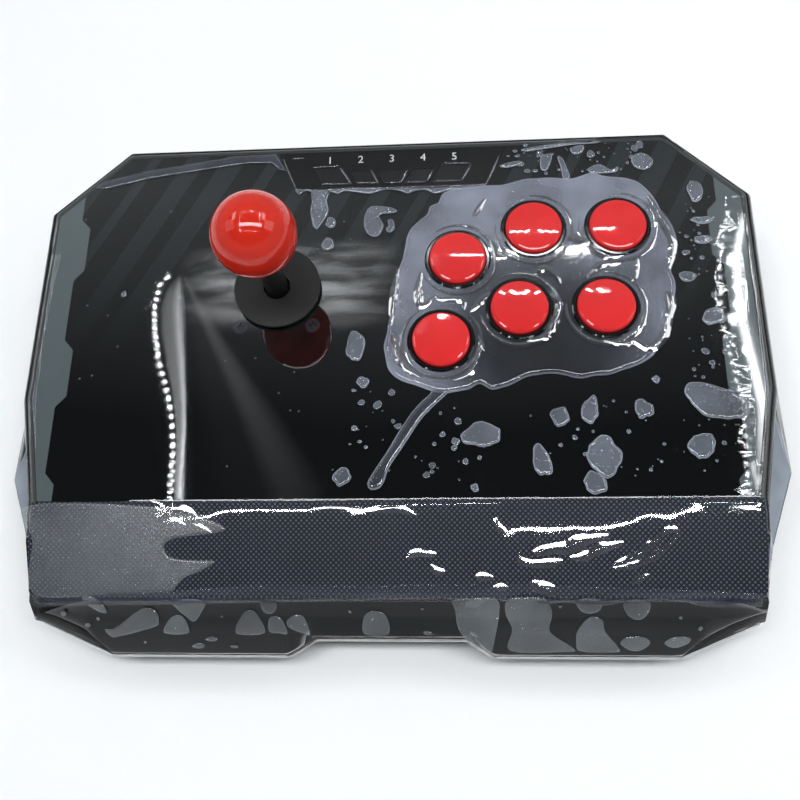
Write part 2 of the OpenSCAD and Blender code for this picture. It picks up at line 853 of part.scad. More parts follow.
module lever_spring() {
    points = [
        for (i = [0 : spring_steps])
            for (k = [0 : spring_sides - 1]) spring_point(i / spring_rings, k * 360 / spring_sides)
    ];
    start_face = [for (k = [0 : spring_sides - 1]) k];
    end_face = [for (k = [spring_sides - 1 : -1 : 0]) spring_steps * spring_sides + k];
    sides = [
        for (i = [0 : spring_steps - 1])
            for (k = [0 : spring_sides - 1])
                let (j = (k + 1) % spring_sides, lo = i * spring_sides, hi = lo + spring_sides)
                    each [[hi + k, hi + j, lo + j], [hi + k, lo + j, lo + k]]
    ];
    color("#9ea2a6") translate([lever_x, lever_y, 0]) polyhedron(points, concat([start_face, end_face], sides));
}

// Actuator: the white collar that reaches the switches
module actuator() {
    color("#e6e6e2") translate([lever_x, lever_y, actuator_z]) difference() {
        cylinder(r = actuator_r, h = actuator_h);
        translate([0, 0, -over]) cylinder(r = shaft_r + sleeve_play, h = actuator_h + over * 2);
    }
}

// Retaining ring under the actuator, open at one side
module e_ring() {
    color("#8d9196") translate([lever_x, lever_y, e_ring_z]) difference() {
        cylinder(r = e_ring_r, h = e_ring_t);
        translate([0, 0, -over]) cylinder(r = shaft_r + tip_play, h = e_ring_t + over * 2);
        translate([0, -shaft_r / 2, -over]) cube([e_ring_r + over, shaft_r, e_ring_t + over * 2]);
    }
}

module washer_plate(outer_r, hole_r, thick) {
    difference() {
        cylinder(r = outer_r, h = thick);
        translate([0, 0, -over]) cylinder(r = hole_r, h = thick + over * 2);
    }
}

module inner_dust_washer() {
    color("#1b1c1d") translate([lever_x, lever_y, under_z - washer_pocket_t + fit_gap])
        washer_plate(inner_washer_r, inner_washer_hole_r, inner_washer_t);
}

module dust_washer() {
    color("#202122") translate([lever_x, lever_y, dust_z]) washer_plate(dust_r, dust_hole_r, dust_t);
}

// Lever board with the hole that the shaft swings in
module lever_board() {
    color("#1f5a38") translate([lever_x, lever_y, lever_board_z]) difference() {
        translate([-lever_board_w / 2, -lever_board_w / 2, 0]) cube([lever_board_w, lever_board_w, lever_board_t]);
        translate([0, 0, -over]) cylinder(r = lever_board_r, h = lever_board_t + over * 2);
    }
}

// Four switches that face the actuator
module lever_switches() {
    color("#b3271d") for (a = [0, 90, 180, 270])
        translate([lever_x, lever_y, switch_z]) rotate([0, 0, a]) union() {
            translate([switch_in, -switch_l / 2, 0]) cube([switch_d, switch_l, switch_h]);
            translate([knob_reach, switch_l / 5, switch_h / 2]) rotate([0, 90, 0])
                cylinder(r = switch_knob_r, h = switch_in - knob_reach + over);
        }
}

// Restrictor gate: the plate with the square opening that limits the tilt
module restrictor_gate() {
    color("#dfe3e4") translate([lever_x, lever_y, gate_z]) difference() {
        translate([-lever_board_w / 2, -lever_board_w / 2, 0]) cube([lever_board_w, lever_board_w, gate_t]);
        translate([-gate_half, -gate_half, -over]) cube([gate_half * 2, gate_half * 2, gate_t + over * 2]);
    }
}

// Countersunk screws through the face panel into the lever body
module lever_screws() {
    slot_w = 0.9;
    slot_l = 3.6;
    color("#84888c") at_lever_screws() translate([0, 0, deck_z]) difference() {
        rotate_extrude() polygon([
            [0, 0],
            [lever_head_r, 0],
            [lever_head_r, -lever_head_edge],
            [lever_screw_hole_r - run_gap, -lever_head_h],
            [lever_screw_hole_r - run_gap, run_gap - lever_screw_l],
            [0, run_gap - lever_screw_l]
        ]);
        for (a = [0, 90])
            rotate([0, 0, a]) translate([-slot_l / 2, -slot_w / 2, -lever_head_h / 2]) cube([slot_l, slot_w, lever_head_h]);
    }
}

// Housing of a button: rim, barrel through the deck, floor and the two ears that hold its switch
module button_housing(place) {
    thread_top_z = under_z - over;
    thread = [
        for (i = [0 : thread_turns - 1])
            each [
                [button_barrel_r, thread_top_z - i * thread_pitch],
                [button_barrel_r - thread_d, thread_top_z - (i + 0.5) * thread_pitch]
            ]
    ];
    color("#0f1011") translate([place[0], place[1], 0]) union() {
        rotate_extrude() polygon(concat([
            [button_in_r, deck_z + rim_h - rim_slope * 0.7],
            [button_in_r + rim_slope * 0.5, deck_z + rim_h],
            [rim_r - rim_slope, deck_z + rim_h],
            [rim_r - rim_slope * 0.3, deck_z + rim_h - rim_slope * 0.3],
            [rim_r, deck_z + rim_h - rim_slope],
            [rim_r, deck_z],
            [button_barrel_r, deck_z]
        ], thread, [
            [button_barrel_r, thread_top_z - thread_turns * thread_pitch],
            [button_barrel_r, button_floor_z],
            [stem_r + stem_play, button_floor_z],
            [stem_r + stem_play, button_floor_z + button_floor_t],
            [button_in_r, button_floor_z + button_floor_t]
        ]));
        for (s = [-1, 1])
            translate([s * (micro_l / 2 + ear_t / 2 + run_gap) - ear_t / 2, -ear_w / 2, button_floor_z - ear_l])
                cube([ear_t, ear_w, ear_l + button_floor_t / 2]);
    }
}

// Plunger of a button: crowned cap with a rounded edge, skirt and stem
module button_plunger(place) {
    top_z = deck_z + plunger_h;
    crown_r = (plunger_r * plunger_r + cap_crown * cap_crown) / (2 * cap_crown);
    round_steps = 4;
    outer = concat(
        [for (i = [0 : round_steps])
            let (x = (plunger_r - cap_round) * i / round_steps)
                [x, top_z - crown_r + sqrt(crown_r * crown_r - x * x)]],
        [for (i = [1 : round_steps])
            let (a = 90 - 90 * i / round_steps)
                [plunger_r - cap_round + cap_round * cos(a), top_z - cap_crown - cap_round + cap_round * sin(a)]]
    );
    color("#e2231b") translate([place[0], place[1], 0]) rotate_extrude() polygon(concat(outer, [
        [plunger_r, top_z - skirt_l],
        [plunger_r - cap_t, top_z - skirt_l],
        [plunger_r - cap_t, top_z - cap_round - cap_t],
        [stem_r, top_z - cap_round - cap_t],
        [stem_r, stem_low_z],
        [0, stem_low_z]
    ]));
}

// Nuts that clamp the button housings under the deck
module button_nuts() {
    grip_count = 12;
    grip_r = 1.1;
    color("#1a1b1c") at_buttons() translate([0, 0, under_z - nut_t]) difference() {
        cylinder(r = nut_r, h = nut_t);
        translate([0, 0, -over]) cylinder(r = button_barrel_r + tip_play, h = nut_t + over * 2);
        for (i = [0 : grip_count - 1])
            rotate([0, 0, i * 360 / grip_count]) translate([nut_r, 0, -over]) cylinder(r = grip_r, h = nut_t + over * 2);
    }
}

// Switch under each button, with its knob and two terminals
module button_switches() {
    color("#2b2c2e") at_buttons() translate([0, 0, micro_z]) union() {
        translate([-micro_l / 2, -micro_d / 2, 0]) cube([micro_l, micro_d, micro_h - run_gap]);
        cylinder(r = micro_knob_r, h = micro_h + micro_knob_h);
        for (s = [-1, 1])
            translate([s * micro_l / 4 - lug_w / 2, -lug_t / 2, -lug_l]) cube([lug_w, lug_t, lug_l + over]);
    }
}

module main_board() {
    color("#1f5a38") difference() {
        translate([board_x - board_w / 2, board_y - board_d / 2, board_z]) cube([board_w, board_d, board_t]);
        at_board_posts() translate([0, 0, board_z - over]) cylinder(r = board_screw_r, h = board_t + over * 2);
    }
}

// Chips, sockets and a can capacitor on the main board
chip_h = 1.6;
socket_h = 5;
board_chip_shares = [[-0.12, 0.05, 0.15, 0.3], [0.2, 0.1, 0.1, 0.2]];
board_socket_shares = [
    [-0.32, -0.36, 0.16, 0.12], [-0.1, -0.36, 0.16, 0.12], [0.12, -0.36, 0.16, 0.12],
    [0.3, 0.37, 0.12, 0.12], [-0.3, 0.37, 0.1, 0.1]
];
can_share = [0.36, -0.05];
can_r = 3;
can_h = 6;
module board_blocks(shares, high) {
    for (p = shares)
        translate([(p[0] - p[2] / 2) * board_w, (p[1] - p[3] / 2) * board_d, 0])
            cube([p[2] * board_w, p[3] * board_d, high]);
}

module board_parts() {
    color("#303234") translate([board_x, board_y, board_z + board_t]) {
        board_blocks(board_chip_shares, chip_h);
        board_blocks(board_socket_shares, socket_h);
        translate([can_share[0] * board_w, can_share[1] * board_d, 0]) cylinder(r = can_r, h = can_h);
    }
}

module small_screw(head_r, head_h, shank_r, shank_l) {
    union() {
        cylinder(r = head_r, h = head_h);
        translate([0, 0, -shank_l]) cylinder(r = shank_r, h = shank_l + head_h / 2);
    }
}

module board_screws() {
    color("#a9adb1") {
        at_board_posts() translate([0, 0, board_z + board_t])
            small_screw(board_head_r, board_head_h, board_screw_r - run_gap * 2, board_t + board_post_h - over);
        at_key_posts() translate([0, 0, key_board_z]) mirror([0, 0, 1])
            small_screw(board_head_r, board_head_h, board_screw_r - run_gap, key_board_t);
    }
}

module housing_screws() {
    color("#777b80") for (p = screw_places)
        translate([p[0], p[1], head_seat_z]) mirror([0, 0, 1])
            small_screw(screw_head_r, screw_head_h, screw_hole_r - tip_play, screw_tip_z - head_seat_z);
}

module rubber_feet() {
    color("#2a2a2b") for (p = foot_places)
        translate([p[0], p[1], 0]) cylinder(r = foot_r, h = foot_h + foot_sunk);
}

// Rubber grommet of the cable outlet, with a groove for the wall
module cable_grommet() {
    color("#1c1c1d") translate([grommet_x, grommet_y - grommet_slot_t / 2, grommet_z]) rotate([90, 0, 0]) difference() {
        union() {
            cylinder(r = grommet_r, h = grommet_slot_t + grommet_flange_t * 2, center = true);
            for (s = [-1, 1])
                translate([0, 0, s * (grommet_slot_t + grommet_flange_t) / 2])
                    cylinder(r = grommet_flange_r, h = grommet_flange_t, center = true);
        }
        cylinder(r = grommet_bore_r, h = grommet_slot_t * 4, center = true);
    }
}

// Protective film over the deck, the side walls, the wings and the front ledge
film_hem = 1;
film_hem_z = lip_z - lip_t - film_hem;
module film_form(grow) {
    upper_form(grow);
    lower_form(grow);
}

module protective_film() {
    outer_gap = film_gap + film_t;
    cut_h = ball_rise;
    color("#c9d2d8", 0.35) difference() {
        film_form(outer_gap);
        film_form(film_gap);
        translate([-body_w, -body_d, -over]) cube([body_w * 2, body_d * 2, film_hem_z + over]);
        translate([lever_x, lever_y, panel_z]) cylinder(r = deck_hole_r + fit_gap, h = cut_h);
        at_buttons() translate([0, 0, panel_z]) cylinder(r = rim_r + fit_gap, h = cut_h);
    }
}

lower_shell();
upper_housing();
wrist_rest();
face_panel();
key_strip();
protective_film();
key_cap(key_lines[0]);  // key_1
key_cap(key_lines[1]);  // key_2
key_cap(key_lines[2]);  // key_3
key_cap(key_lines[3]);  // key_4
key_cap(key_lines[4]);  // key_5
key_board();
key_switches();
lever_body();
pivot_ring();
pivot_ball();
lever_shaft();
shaft_sleeve();
ball_top();
lever_spring();
actuator();
e_ring();
inner_dust_washer();
dust_washer();
lever_board();
lever_switches();
restrictor_gate();
lever_screws();
button_housing(button_places[0]);  // button_1_housing
button_housing(button_places[1]);  // button_2_housing
button_housing(button_places[2]);  // button_3_housing
button_housing(button_places[3]);  // button_4_housing
button_housing(button_places[4]);  // button_5_housing
button_housing(button_places[5]);  // button_6_housing
button_plunger(button_places[0]);  // button_1_plunger
button_plunger(button_places[1]);  // button_2_plunger
button_plunger(button_places[2]);  // button_3_plunger
button_plunger(button_places[3]);  // button_4_plunger
button_plunger(button_places[4]);  // button_5_plunger
button_plunger(button_places[5]);  // button_6_plunger
button_nuts();
button_switches();
main_board();
board_parts();
board_screws();
housing_screws();
rubber_feet();
cable_grommet();
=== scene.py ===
import bpy
import bmesh
import math
from functools import partial
from mathutils import Matrix, Vector, noise


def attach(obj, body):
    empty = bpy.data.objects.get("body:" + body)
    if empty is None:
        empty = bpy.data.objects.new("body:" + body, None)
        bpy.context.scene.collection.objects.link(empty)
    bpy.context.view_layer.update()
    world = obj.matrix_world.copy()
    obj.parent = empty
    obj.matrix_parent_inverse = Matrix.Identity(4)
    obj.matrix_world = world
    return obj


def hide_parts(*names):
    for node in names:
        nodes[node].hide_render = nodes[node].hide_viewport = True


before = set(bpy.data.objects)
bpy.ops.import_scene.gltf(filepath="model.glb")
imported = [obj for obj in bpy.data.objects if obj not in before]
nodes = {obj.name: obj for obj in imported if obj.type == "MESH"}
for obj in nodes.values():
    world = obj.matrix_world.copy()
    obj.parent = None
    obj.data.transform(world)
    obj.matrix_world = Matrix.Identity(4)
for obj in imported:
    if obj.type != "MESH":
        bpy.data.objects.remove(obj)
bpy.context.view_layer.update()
mm = 0.001
print("stage: frame loaded,", len(nodes), "nodes")


# Small helpers: colours, nodes and operators

def linear(hexText, share=1.0):
    # sRGB hex to linear RGBA, darker or lighter by the share
    values = [int(hexText[i:i + 2], 16) / 255 for i in (1, 3, 5)]
    return tuple(share * (v / 12.92 if v <= 0.04045 else ((v + 0.055) / 1.055) ** 2.4) for v in values) + (1.0,)


def feed(node, inputs):
    # sets inputs by name or in order: to a value, a socket or another node's first output
    for key, value in inputs.items() if isinstance(inputs, dict) else enumerate(inputs):
        if isinstance(value, bpy.types.Node):
            value = value.outputs[0]
        if isinstance(value, bpy.types.NodeSocket):
            node.id_data.links.new(value, node.inputs[key])
        else:
            node.inputs[key].default_value = value
    return node


def addNode(tree, kind, inputs=(), stops=(), **settings):
    # one node with its settings, values and links; stops are places and colours of a ramp, a number is a grey
    node = tree.nodes.new("ShaderNode" + kind)
    for key, value in settings.items():
        setattr(node, key, value)
    while stops and len(node.color_ramp.elements) < len(stops):
        node.color_ramp.elements.new(0.5)
    for k, (place, colour) in enumerate(stops):
        node.color_ramp.elements[k].position = place
        node.color_ramp.elements[k].color = colour if isinstance(colour, tuple) else (colour, colour, colour, 1.0)
    return feed(node, inputs)


def startMaterial(name):
    # a material, its shader and the function that adds nodes to it
    material = bpy.data.materials.new(name)
    material.use_nodes = True
    return material, material.node_tree.nodes["Principled BSDF"], partial(addNode, material.node_tree)


def objectPoint(add, scale=(1, 1, 1), turn=0):
    # object coordinates, turned by some degrees
    coords = add("TexCoord")
    return add("Mapping", {
        "Vector": coords.outputs["Object"], "Scale": scale, "Rotation": (0, 0, math.radians(turn))})


def pairs(*values):
    # places from X and Y in turn
    return list(zip(values[::2], values[1::2]))


def dress(names, material):
    for name in names:
        mesh = nodes[name].data
        mesh.materials.clear()
        mesh.materials.append(material)


def deselectAll():
    if bpy.context.object and bpy.context.object.mode != "OBJECT":
        bpy.ops.object.mode_set(mode="OBJECT")
    bpy.ops.object.select_all(action="DESELECT")


def makeActive(obj):
    deselectAll()
    obj.select_set(True)
    bpy.context.view_layer.objects.active = obj


def applyAll(obj):
    # applies place, turn and size, then every modifier, so the finished piece sits at the origin
    makeActive(obj)
    bpy.ops.object.transform_apply(location=True, rotation=True, scale=True)
    for modifier in list(obj.modifiers):
        bpy.ops.object.modifier_apply(modifier=modifier.name)


def meshObject(mesh, name):
    # an object from a mesh drawn in millimetres
    data = bpy.data.meshes.new(name)
    mesh.to_mesh(data)
    mesh.free()
    data.transform(Matrix.Scale(mm, 4))
    piece = bpy.data.objects.new(name, data)
    bpy.context.scene.collection.objects.link(piece)
    return piece


# Camera: fitted to the photograph's rims, ball and panel edges

cameraSetup = {"place": (32.705, -142.606, 409.845), "pitch": 19.555, "yaw": 4.416, "roll": 0.6085,
               "focalPixels": 891.16, "imagePixels": 800, "sensor": 36.0, "clipStart": 0.01}


def setCamera(setup):
    data = bpy.data.cameras.new("camera")
    data.sensor_width = setup["sensor"]
    data.lens = setup["focalPixels"] / setup["imagePixels"] * setup["sensor"]
    data.clip_start = setup["clipStart"]
    camera = bpy.data.objects.new("camera", data)
    bpy.context.scene.collection.objects.link(camera)
    yaw, pitch, roll = (Matrix.Rotation(math.radians(setup[key]), 4, axis)
                        for key, axis in (("yaw", "Y"), ("pitch", "X"), ("roll", "Z")))
    camera.matrix_world = Matrix.Translation(Vector(setup["place"]) * mm) @ yaw @ pitch @ roll
    bpy.context.scene.camera = camera


setCamera(cameraSetup)
print("stage: camera set")


# Floor and light: plain pale floor, a soft studio dome and thin ceiling strips in a U

# lamps are given as name, place, size and power, strips as name, start, end and width; lamps below aimedBelow
# face the origin, all others shine straight down
studio = {"floorColour": "#f5f6f6", "floorSize": 8, "floorRoughness": 0.9,
          "zenithColour": "#c9d0d6", "zenithStrength": 0.05, "backColour": "#e4ebee", "backStrength": 0.52,
          "farShare": 0.62, "horizonColour": "#e8ecef", "horizonStrength": 0.42, "horizonBand": (0.42, 0.62),
          "lampColour": "#fafcff", "glowColour": "#f8fbff", "aimedBelow": 1400,
          "skyPlaces": (0.3, 0.52, 0.58),
          "barRise": 1469, "ledPitch": 20, "ledRadius": 5.5, "ledCore": 0.6, "ledSpread": 80, "fanNear": 4.0,
          "fanFar": 0.8, "fanWide": 1.6, "barWide": 0.3, "sheenRise": 12,
          "softboxes": [("overhead", (0, 0, 1466), (260, 30), 0.6), ("frontBar", (100, -60, 1466), (1500, 200), 13.8),
                        ("backBar", (170, 830, 1460), (420, 9), 1.5),
                        ("leftRear", (-1130, 700, 1466), (300, 600), 2.8),
                        ("rightRear", (960, 700, 1466), (300, 600), 2.8),
                        ("left", (-1500, 100, 1350), (800, 800), 1.9), ("right", (1500, 100, 1350), (800, 800), 3.4)],
          "stripRise": 1466, "stripGlow": 190,
          "strips": [("leftStrip", (-606, -480), (-606, 230), 8), ("rightStrip", (650, -430), (650, 130), 8),
                     ("frontStripLeft", (-606, -520), (-150, -506), 7),
                     ("frontStripMiddle", (-150, -500), (110, -452), 7),
                     ("frontStripRight", (110, -566), (660, -500), 7),
                     ("cornerLamp", (-626, -508), (-588, -508), 26)]}
# ceiling lamps that the deck mirrors: reach in Y, beads and both edges of the glow as (Y, X), glow across and along,
# stray light as share of the fan's angle
ledBars = [
    {"name": "leftBar", "reach": (270, 806), "centre": -600, "power": 50, "fan": 0.7, "rise": 0,
    "beads": pairs(274, -580, 327, -581, 390, -585, 467, -599, 524, -617, 583, -639, 672, -656, 724, -659, 777, -653,
    801, -635), "left": pairs(274, -568, 373, -577, 447, -588, 523, -607, 582, -624, 642, -638, 713, -645, 765, -636,
    800, -613), "right": pairs(274, -552, 336, -556, 409, -560, 494, -568, 581, -576, 691, -586, 743, -594,
    800, -606), "across": pairs(0, 0, 0.15, 0.22, 0.55, 0.3, 0.8, 0.8, 0.92, 0.7, 1, 0), "along": pairs(0, 1,
    0.12, 0.7, 0.35, 0.36, 0.7, 0.24, 0.9, 0.2, 1, 0), "glow": 30}, {"name": "rightBar", "reach": (150, 935),
    "centre": 620, "power": 40, "fan": 0, "rise": 4, "beads": pairs(284, 594, 461, 604, 563, 592, 669, 582, 807, 592,
    931, 624), "left": pairs(284, 598, 461, 620, 563, 610, 669, 600, 807, 606, 931, 645), "right": pairs(284, 640,
    461, 672, 563, 664, 669, 650, 807, 654, 931, 680), "across": pairs(0, 0, 0.2, 0.06, 0.38, 1, 0.55, 1, 0.68, 0.12,
    1, 0), "along": pairs(0, 0.2, 0.25, 0.3, 0.42, 1, 0.85, 1, 0.96, 0.7, 1, 0), "glow": 48}, {"name": "edgeBar",
    "reach": (150, 935), "centre": 660, "power": 40, "fan": 0, "rise": 8, "beads": pairs(150, 624, 284, 634, 461, 654,
    563, 664, 669, 672, 807, 678, 931, 694), "left": pairs(284, 640, 931, 700), "right": pairs(284, 652, 931, 712),
    "across": pairs(0, 0, 0.5, 1, 1, 0), "along": pairs(0, 1, 1, 1), "glow": 9}]
stray = pairs(0, 0, 0.16, 0, 0.3, 0.05, 0.42, 0.06, 0.5, 0.34, 0.57, 0.3, 0.68, 0)
# light scattered over a brushed ceiling panel
sheenSetup = {"place": (-350, 775), "size": (600, 250), "strength": 5.0, "scale": (5, 34, 1), "turn": -9,
              "tone": pairs(0.4, 0.1, 0.62, 1), "full": 0.12, "gone": 0.5}


def paleFloor(setup):
    deselectAll()
    bpy.ops.mesh.primitive_plane_add(size=setup["floorSize"])
    floor = bpy.context.object
    floor.name = "floor"
    material, shader, add = startMaterial("matte_white_board")
    feed(shader, {"Base Color": linear(setup["floorColour"]), "Roughness": setup["floorRoughness"]})
    floor.data.materials.append(material)


def areaLight(name, place, size, power):
    data = bpy.data.lights.new(name, "AREA")
    data.shape = "RECTANGLE"
    data.size, data.size_y = size[0] * mm, size[1] * mm
    data.energy = power
    data.color = linear(studio["lampColour"])[:3]
    lamp = bpy.data.objects.new(name, data)
    bpy.context.scene.collection.objects.link(lamp)
    lamp.location = Vector(place) * mm
    return lamp


def lampPlane(name, place, size, strength):
    # a ceiling lamp as a plane that glows by a pattern and is clear elsewhere; strength(add, x, y) gives the pattern
    deselectAll()
    bpy.ops.mesh.primitive_plane_add(size=1)
    lamp = bpy.context.object
    lamp.name = name
    lamp.scale = (size[0] * mm, size[1] * mm, 1)
    bpy.ops.object.transform_apply(location=False, rotation=False, scale=True)
    lamp.location = Vector(place) * mm
    material, shader, add = startMaterial(name + "_glow")
    material.node_tree.nodes.remove(shader)
    split = add("SeparateXYZ", (objectPoint(add),))
    total = strength(add, split.outputs["X"], split.outputs["Y"])
    glow = add("Emission", {"Color": linear(studio["glowColour"]), "Strength": total})
    clear = add("BsdfTransparent")
    feed(material.node_tree.nodes["Material Output"], {"Surface": add("AddShader", (clear, glow))})
    lamp.data.materials.append(material)


def ledBar(setup, bar):
    # one row of bare LEDs, a tent of glow beside it and a fan of stray light that opens from its far end
    low, high = bar["reach"]
    length = high - low
    spread, radius = setup["ledSpread"], setup["ledRadius"] * mm

    def pattern(add, x, y):
        share = add("Math", (y, 1 / (length * mm), 0.5), operation="MULTIPLY_ADD")

        def line(points):
            # the X of a traced line at this Y
            stops = [((py - low) / length, (px - bar["centre"] + spread) / (2 * spread)) for py, px in points]
            place = add("ValToRGB", (share,), stops)
            return add("Math", (place, 2 * spread * mm, -spread * mm), operation="MULTIPLY_ADD")

        off = add("Math", (x, line(bar["beads"])), operation="SUBTRACT")
        along = add("Math", (y, setup["ledPitch"] / 2 * mm), operation="PINGPONG")
        reach = add("VectorMath", (add("CombineXYZ", (off, along)),), operation="LENGTH")
        bead = add("MapRange", (reach.outputs["Value"], setup["ledCore"] * radius, radius, bar["power"], 0.0))
        left = line(bar["left"])
        inside = add("Math", (x, left), operation="SUBTRACT")
        wide = add("Math", (line(bar["right"]), left), operation="SUBTRACT")
        across = add("ValToRGB", (add("Math", (inside, wide), operation="DIVIDE"),), bar["across"])
        tent = add("Math", (across, add("ValToRGB", (share,), bar["along"])), operation="MULTIPLY")
        down = add("Math", ((length / 2 + 1) * mm, y), operation="SUBTRACT")
        rays = add("ValToRGB", (add("Math", (x, down), operation="DIVIDE"),), stray)
        near = add("MapRange", (down, 0.0, length * mm, setup["fanNear"] * bar["fan"], setup["fanFar"] * bar["fan"]))
        fan = add("Math", (rays, near), operation="MULTIPLY")
        lit = add("Math", (tent, bar["glow"], bead), operation="MULTIPLY_ADD")
        return add("Math", (lit, fan), operation="ADD")

    place = (bar["centre"], (low + high) / 2, setup["barRise"] + bar["rise"])
    wide = setup["fanWide"] if bar["fan"] else setup["barWide"]
    lampPlane(bar["name"], place, (length * wide, length), pattern)


def ceilingSheen(setup, rise):
    # soft streaks that run sideways and fade out to every edge
    def pattern(add, x, y):
        point = objectPoint(add, setup["scale"], setup["turn"])
        streaks = add("TexNoise", {"Vector": point, "Scale": 1.0, "Detail": 3.0, "Distortion": 0.6})
        glow = add("ValToRGB", (streaks,), setup["tone"])
        factors = [setup["strength"]]
        for value, size in zip((x, y), setup["size"]):
            off = add("Math", (value,), operation="ABSOLUTE")
            factors.append(add("MapRange", (off, size * setup["full"] * mm, size * setup["gone"] * mm, 1.0, 0.0),
                                   interpolation_type="SMOOTHERSTEP"))
        for factor in factors:
            glow = add("Math", (glow, factor), operation="MULTIPLY")
        return glow

    lampPlane("ceilingSheen", (*setup["place"], rise), setup["size"], pattern)


def lightStudio(setup):
    world = bpy.data.worlds.new("studio")
    world.use_nodes = True
    add = partial(addNode, world.node_tree)
    split = add("SeparateXYZ", (add("TexCoord").outputs["Generated"],))
    low = linear(setup["zenithColour"], setup["zenithStrength"])
    high = linear(setup["backColour"], setup["backStrength"])
    far = linear(setup["backColour"], setup["backStrength"] * setup["farShare"])
    sky = add("ValToRGB", (split.outputs["Y"],), list(zip((0, *setup["skyPlaces"], 1), (low, low, high, far, far))))
    height = add("MapRange", (split.outputs["Z"], *setup["horizonBand"], 1.0, 0.0),
                     interpolation_type="SMOOTHSTEP")
    pale = linear(setup["horizonColour"], setup["horizonStrength"])
    dome = add("Mix", {"Factor": height, 6: sky, 7: pale}, data_type="RGBA")
    feed(world.node_tree.nodes["Background"], {"Color": dome.outputs[2], "Strength": 1.0})
    bpy.context.scene.world = world
    for name, place, size, power in setup["softboxes"]:
        lamp = areaLight(name, place, size, power)
        if place[2] < setup["aimedBelow"]:
            lamp.rotation_euler = Vector(place).to_track_quat("Z", "Y").to_euler()
    for name, start, end, wide in setup["strips"]:
        start, end = Vector(start), Vector(end)
        span, middle = end - start, (start + end) / 2
        power = span.length * wide * mm * mm * setup["stripGlow"]
        strip = areaLight(name, (*middle, setup["stripRise"]), (span.length, wide), power)
        strip.rotation_euler = (0, 0, math.atan2(span.y, span.x))
    for bar in ledBars:
        ledBar(setup, bar)
    ceilingSheen(sheenSetup, setup["barRise"] + setup["sheenRise"])


paleFloor(studio)
lightStudio(studio)
bpy.context.scene.view_settings.view_transform = "Standard"
print("stage: floor and light")


# Finishes; grain and pattern sizes are in millimetres

finishSizes = {"cloud": 40, "flow": 50 / 3, "latheLines": (300, 300, 2500)}


def mouldedPlastic(name, colour, roughness, grain, depth):
    # moulded ABS or nylon: spark-eroded mould texture gives a soft broken highlight
    material, shader, add = startMaterial(name)
    point = objectPoint(add)
    fine = add("TexNoise", {"Vector": point, "Scale": 1 / (grain * mm), "Detail": 3.0})
    broad = add("TexNoise", {"Vector": point, "Scale": 1 / (finishSizes["cloud"] * mm), "Detail": 2.0})
    feed(shader, {
        "Base Color": add("ValToRGB", (broad,), [(0.3, linear(colour)), (0.7, linear(colour, 1.25))]),
        "Roughness": add("MapRange", (broad, 0.3, 0.7, roughness - 0.05, roughness + 0.05)),
        "Normal": add("Bump", {"Height": fine, "Strength": 0.5, "Distance": depth * mm})})
    return material


def polishedPlastic(name, colour, roughness, specular=0.5):
    # polished phenolic or polycarbonate: sharp reflections, a trace of moulding flow in the tone
    material, shader, add = startMaterial(name)
    flow = add("TexNoise", {
        "Vector": objectPoint(add), "Scale": 1 / (finishSizes["flow"] * mm), "Detail": 1.0})
    feed(shader, {
        "Base Color": add("ValToRGB", (flow,), [(0.35, linear(colour)), (0.65, linear(colour, 0.93))]),
        "Roughness": roughness, "Specular IOR Level": specular,
        "Normal": add("Bump", {"Height": flow, "Strength": 0.15, "Distance": 0.02 * mm})})
    return material


def steel(name, colour, roughness):
    # turned and plated steel: fine lathe lines round the axis
    material, shader, add = startMaterial(name)
    lines = add("TexNoise", {
        "Vector": objectPoint(add, finishSizes["latheLines"]), "Scale": 1.0, "Detail": 2.0})
    feed(shader, {
        "Base Color": add("ValToRGB", (lines,), [(0.3, linear(colour)), (0.7, linear(colour, 0.8))]),
        "Metallic": 1.0, "Roughness": roughness,
        "Normal": add("Bump", {"Height": lines, "Strength": 0.2, "Distance": 0.02 * mm})})
    return material


def grainedSheet(name, low, high, grain):
    # calendered PVC: pebbled grain, paler on the pebbles
    material, shader, add = startMaterial(name)
    point = objectPoint(add)
    cells = add("TexVoronoi", {"Vector": point, "Scale": 1 / (grain * mm)})
    fine = add("TexNoise", {"Vector": point, "Scale": 1 / (grain * mm), "Detail": 3.0})
    feed(shader, {
        "Base Color": add("ValToRGB", (fine,), [(0.38, linear(low)), (0.66, linear(high))]),
        "Roughness": 0.6, "Normal": add("Bump", {"Height": cells, "Strength": 0.6, "Distance": 0.1 * mm})})
    return material


dress(["upper_housing", "lower_shell"], mouldedPlastic("moulded_abs_shell", "#1d2021", 0.4, 0.3, 0.008))
dress(["lever_body", "button_nuts"], mouldedPlastic("moulded_nylon", "#17181a", 0.5, 0.5, 0.03))
dress(["shaft_sleeve"], mouldedPlastic("extruded_pvc_sleeve", "#101112", 0.38, 0.4, 0.01))
dress(["dust_washer", "inner_dust_washer"], grainedSheet("grained_pvc_washer", "#020202", "#0e0f0e", 0.75))
dress(["key_strip"], polishedPlastic("piano_black_abs", "#040505", 0.3, 0.12))
dress(["key_%d" % i for i in range(1, 6)], polishedPlastic("moulded_black_key", "#0e0f10", 0.25, 0.2))
dress(["ball_top"], polishedPlastic("polished_red_phenolic", "#cc2c1c", 0.05))
for pieces, name, colour, roughness in (("plunger", "polished_red_polycarbonate", "#d62e2f", 0.03),
                                        ("housing", "polished_black_polycarbonate", "#08090a", 0.07)):
    dress(["button_%d_%s" % (i, pieces) for i in range(1, 7)], polishedPlastic(name, colour, roughness))
dress(["lever_shaft", "lever_spring", "e_ring", "board_screws"], steel("ground_steel", "#b8bbbf", 0.28))
dress(["lever_screws", "housing_screws"], steel("black_oxide_screw", "#33363a", 0.42))
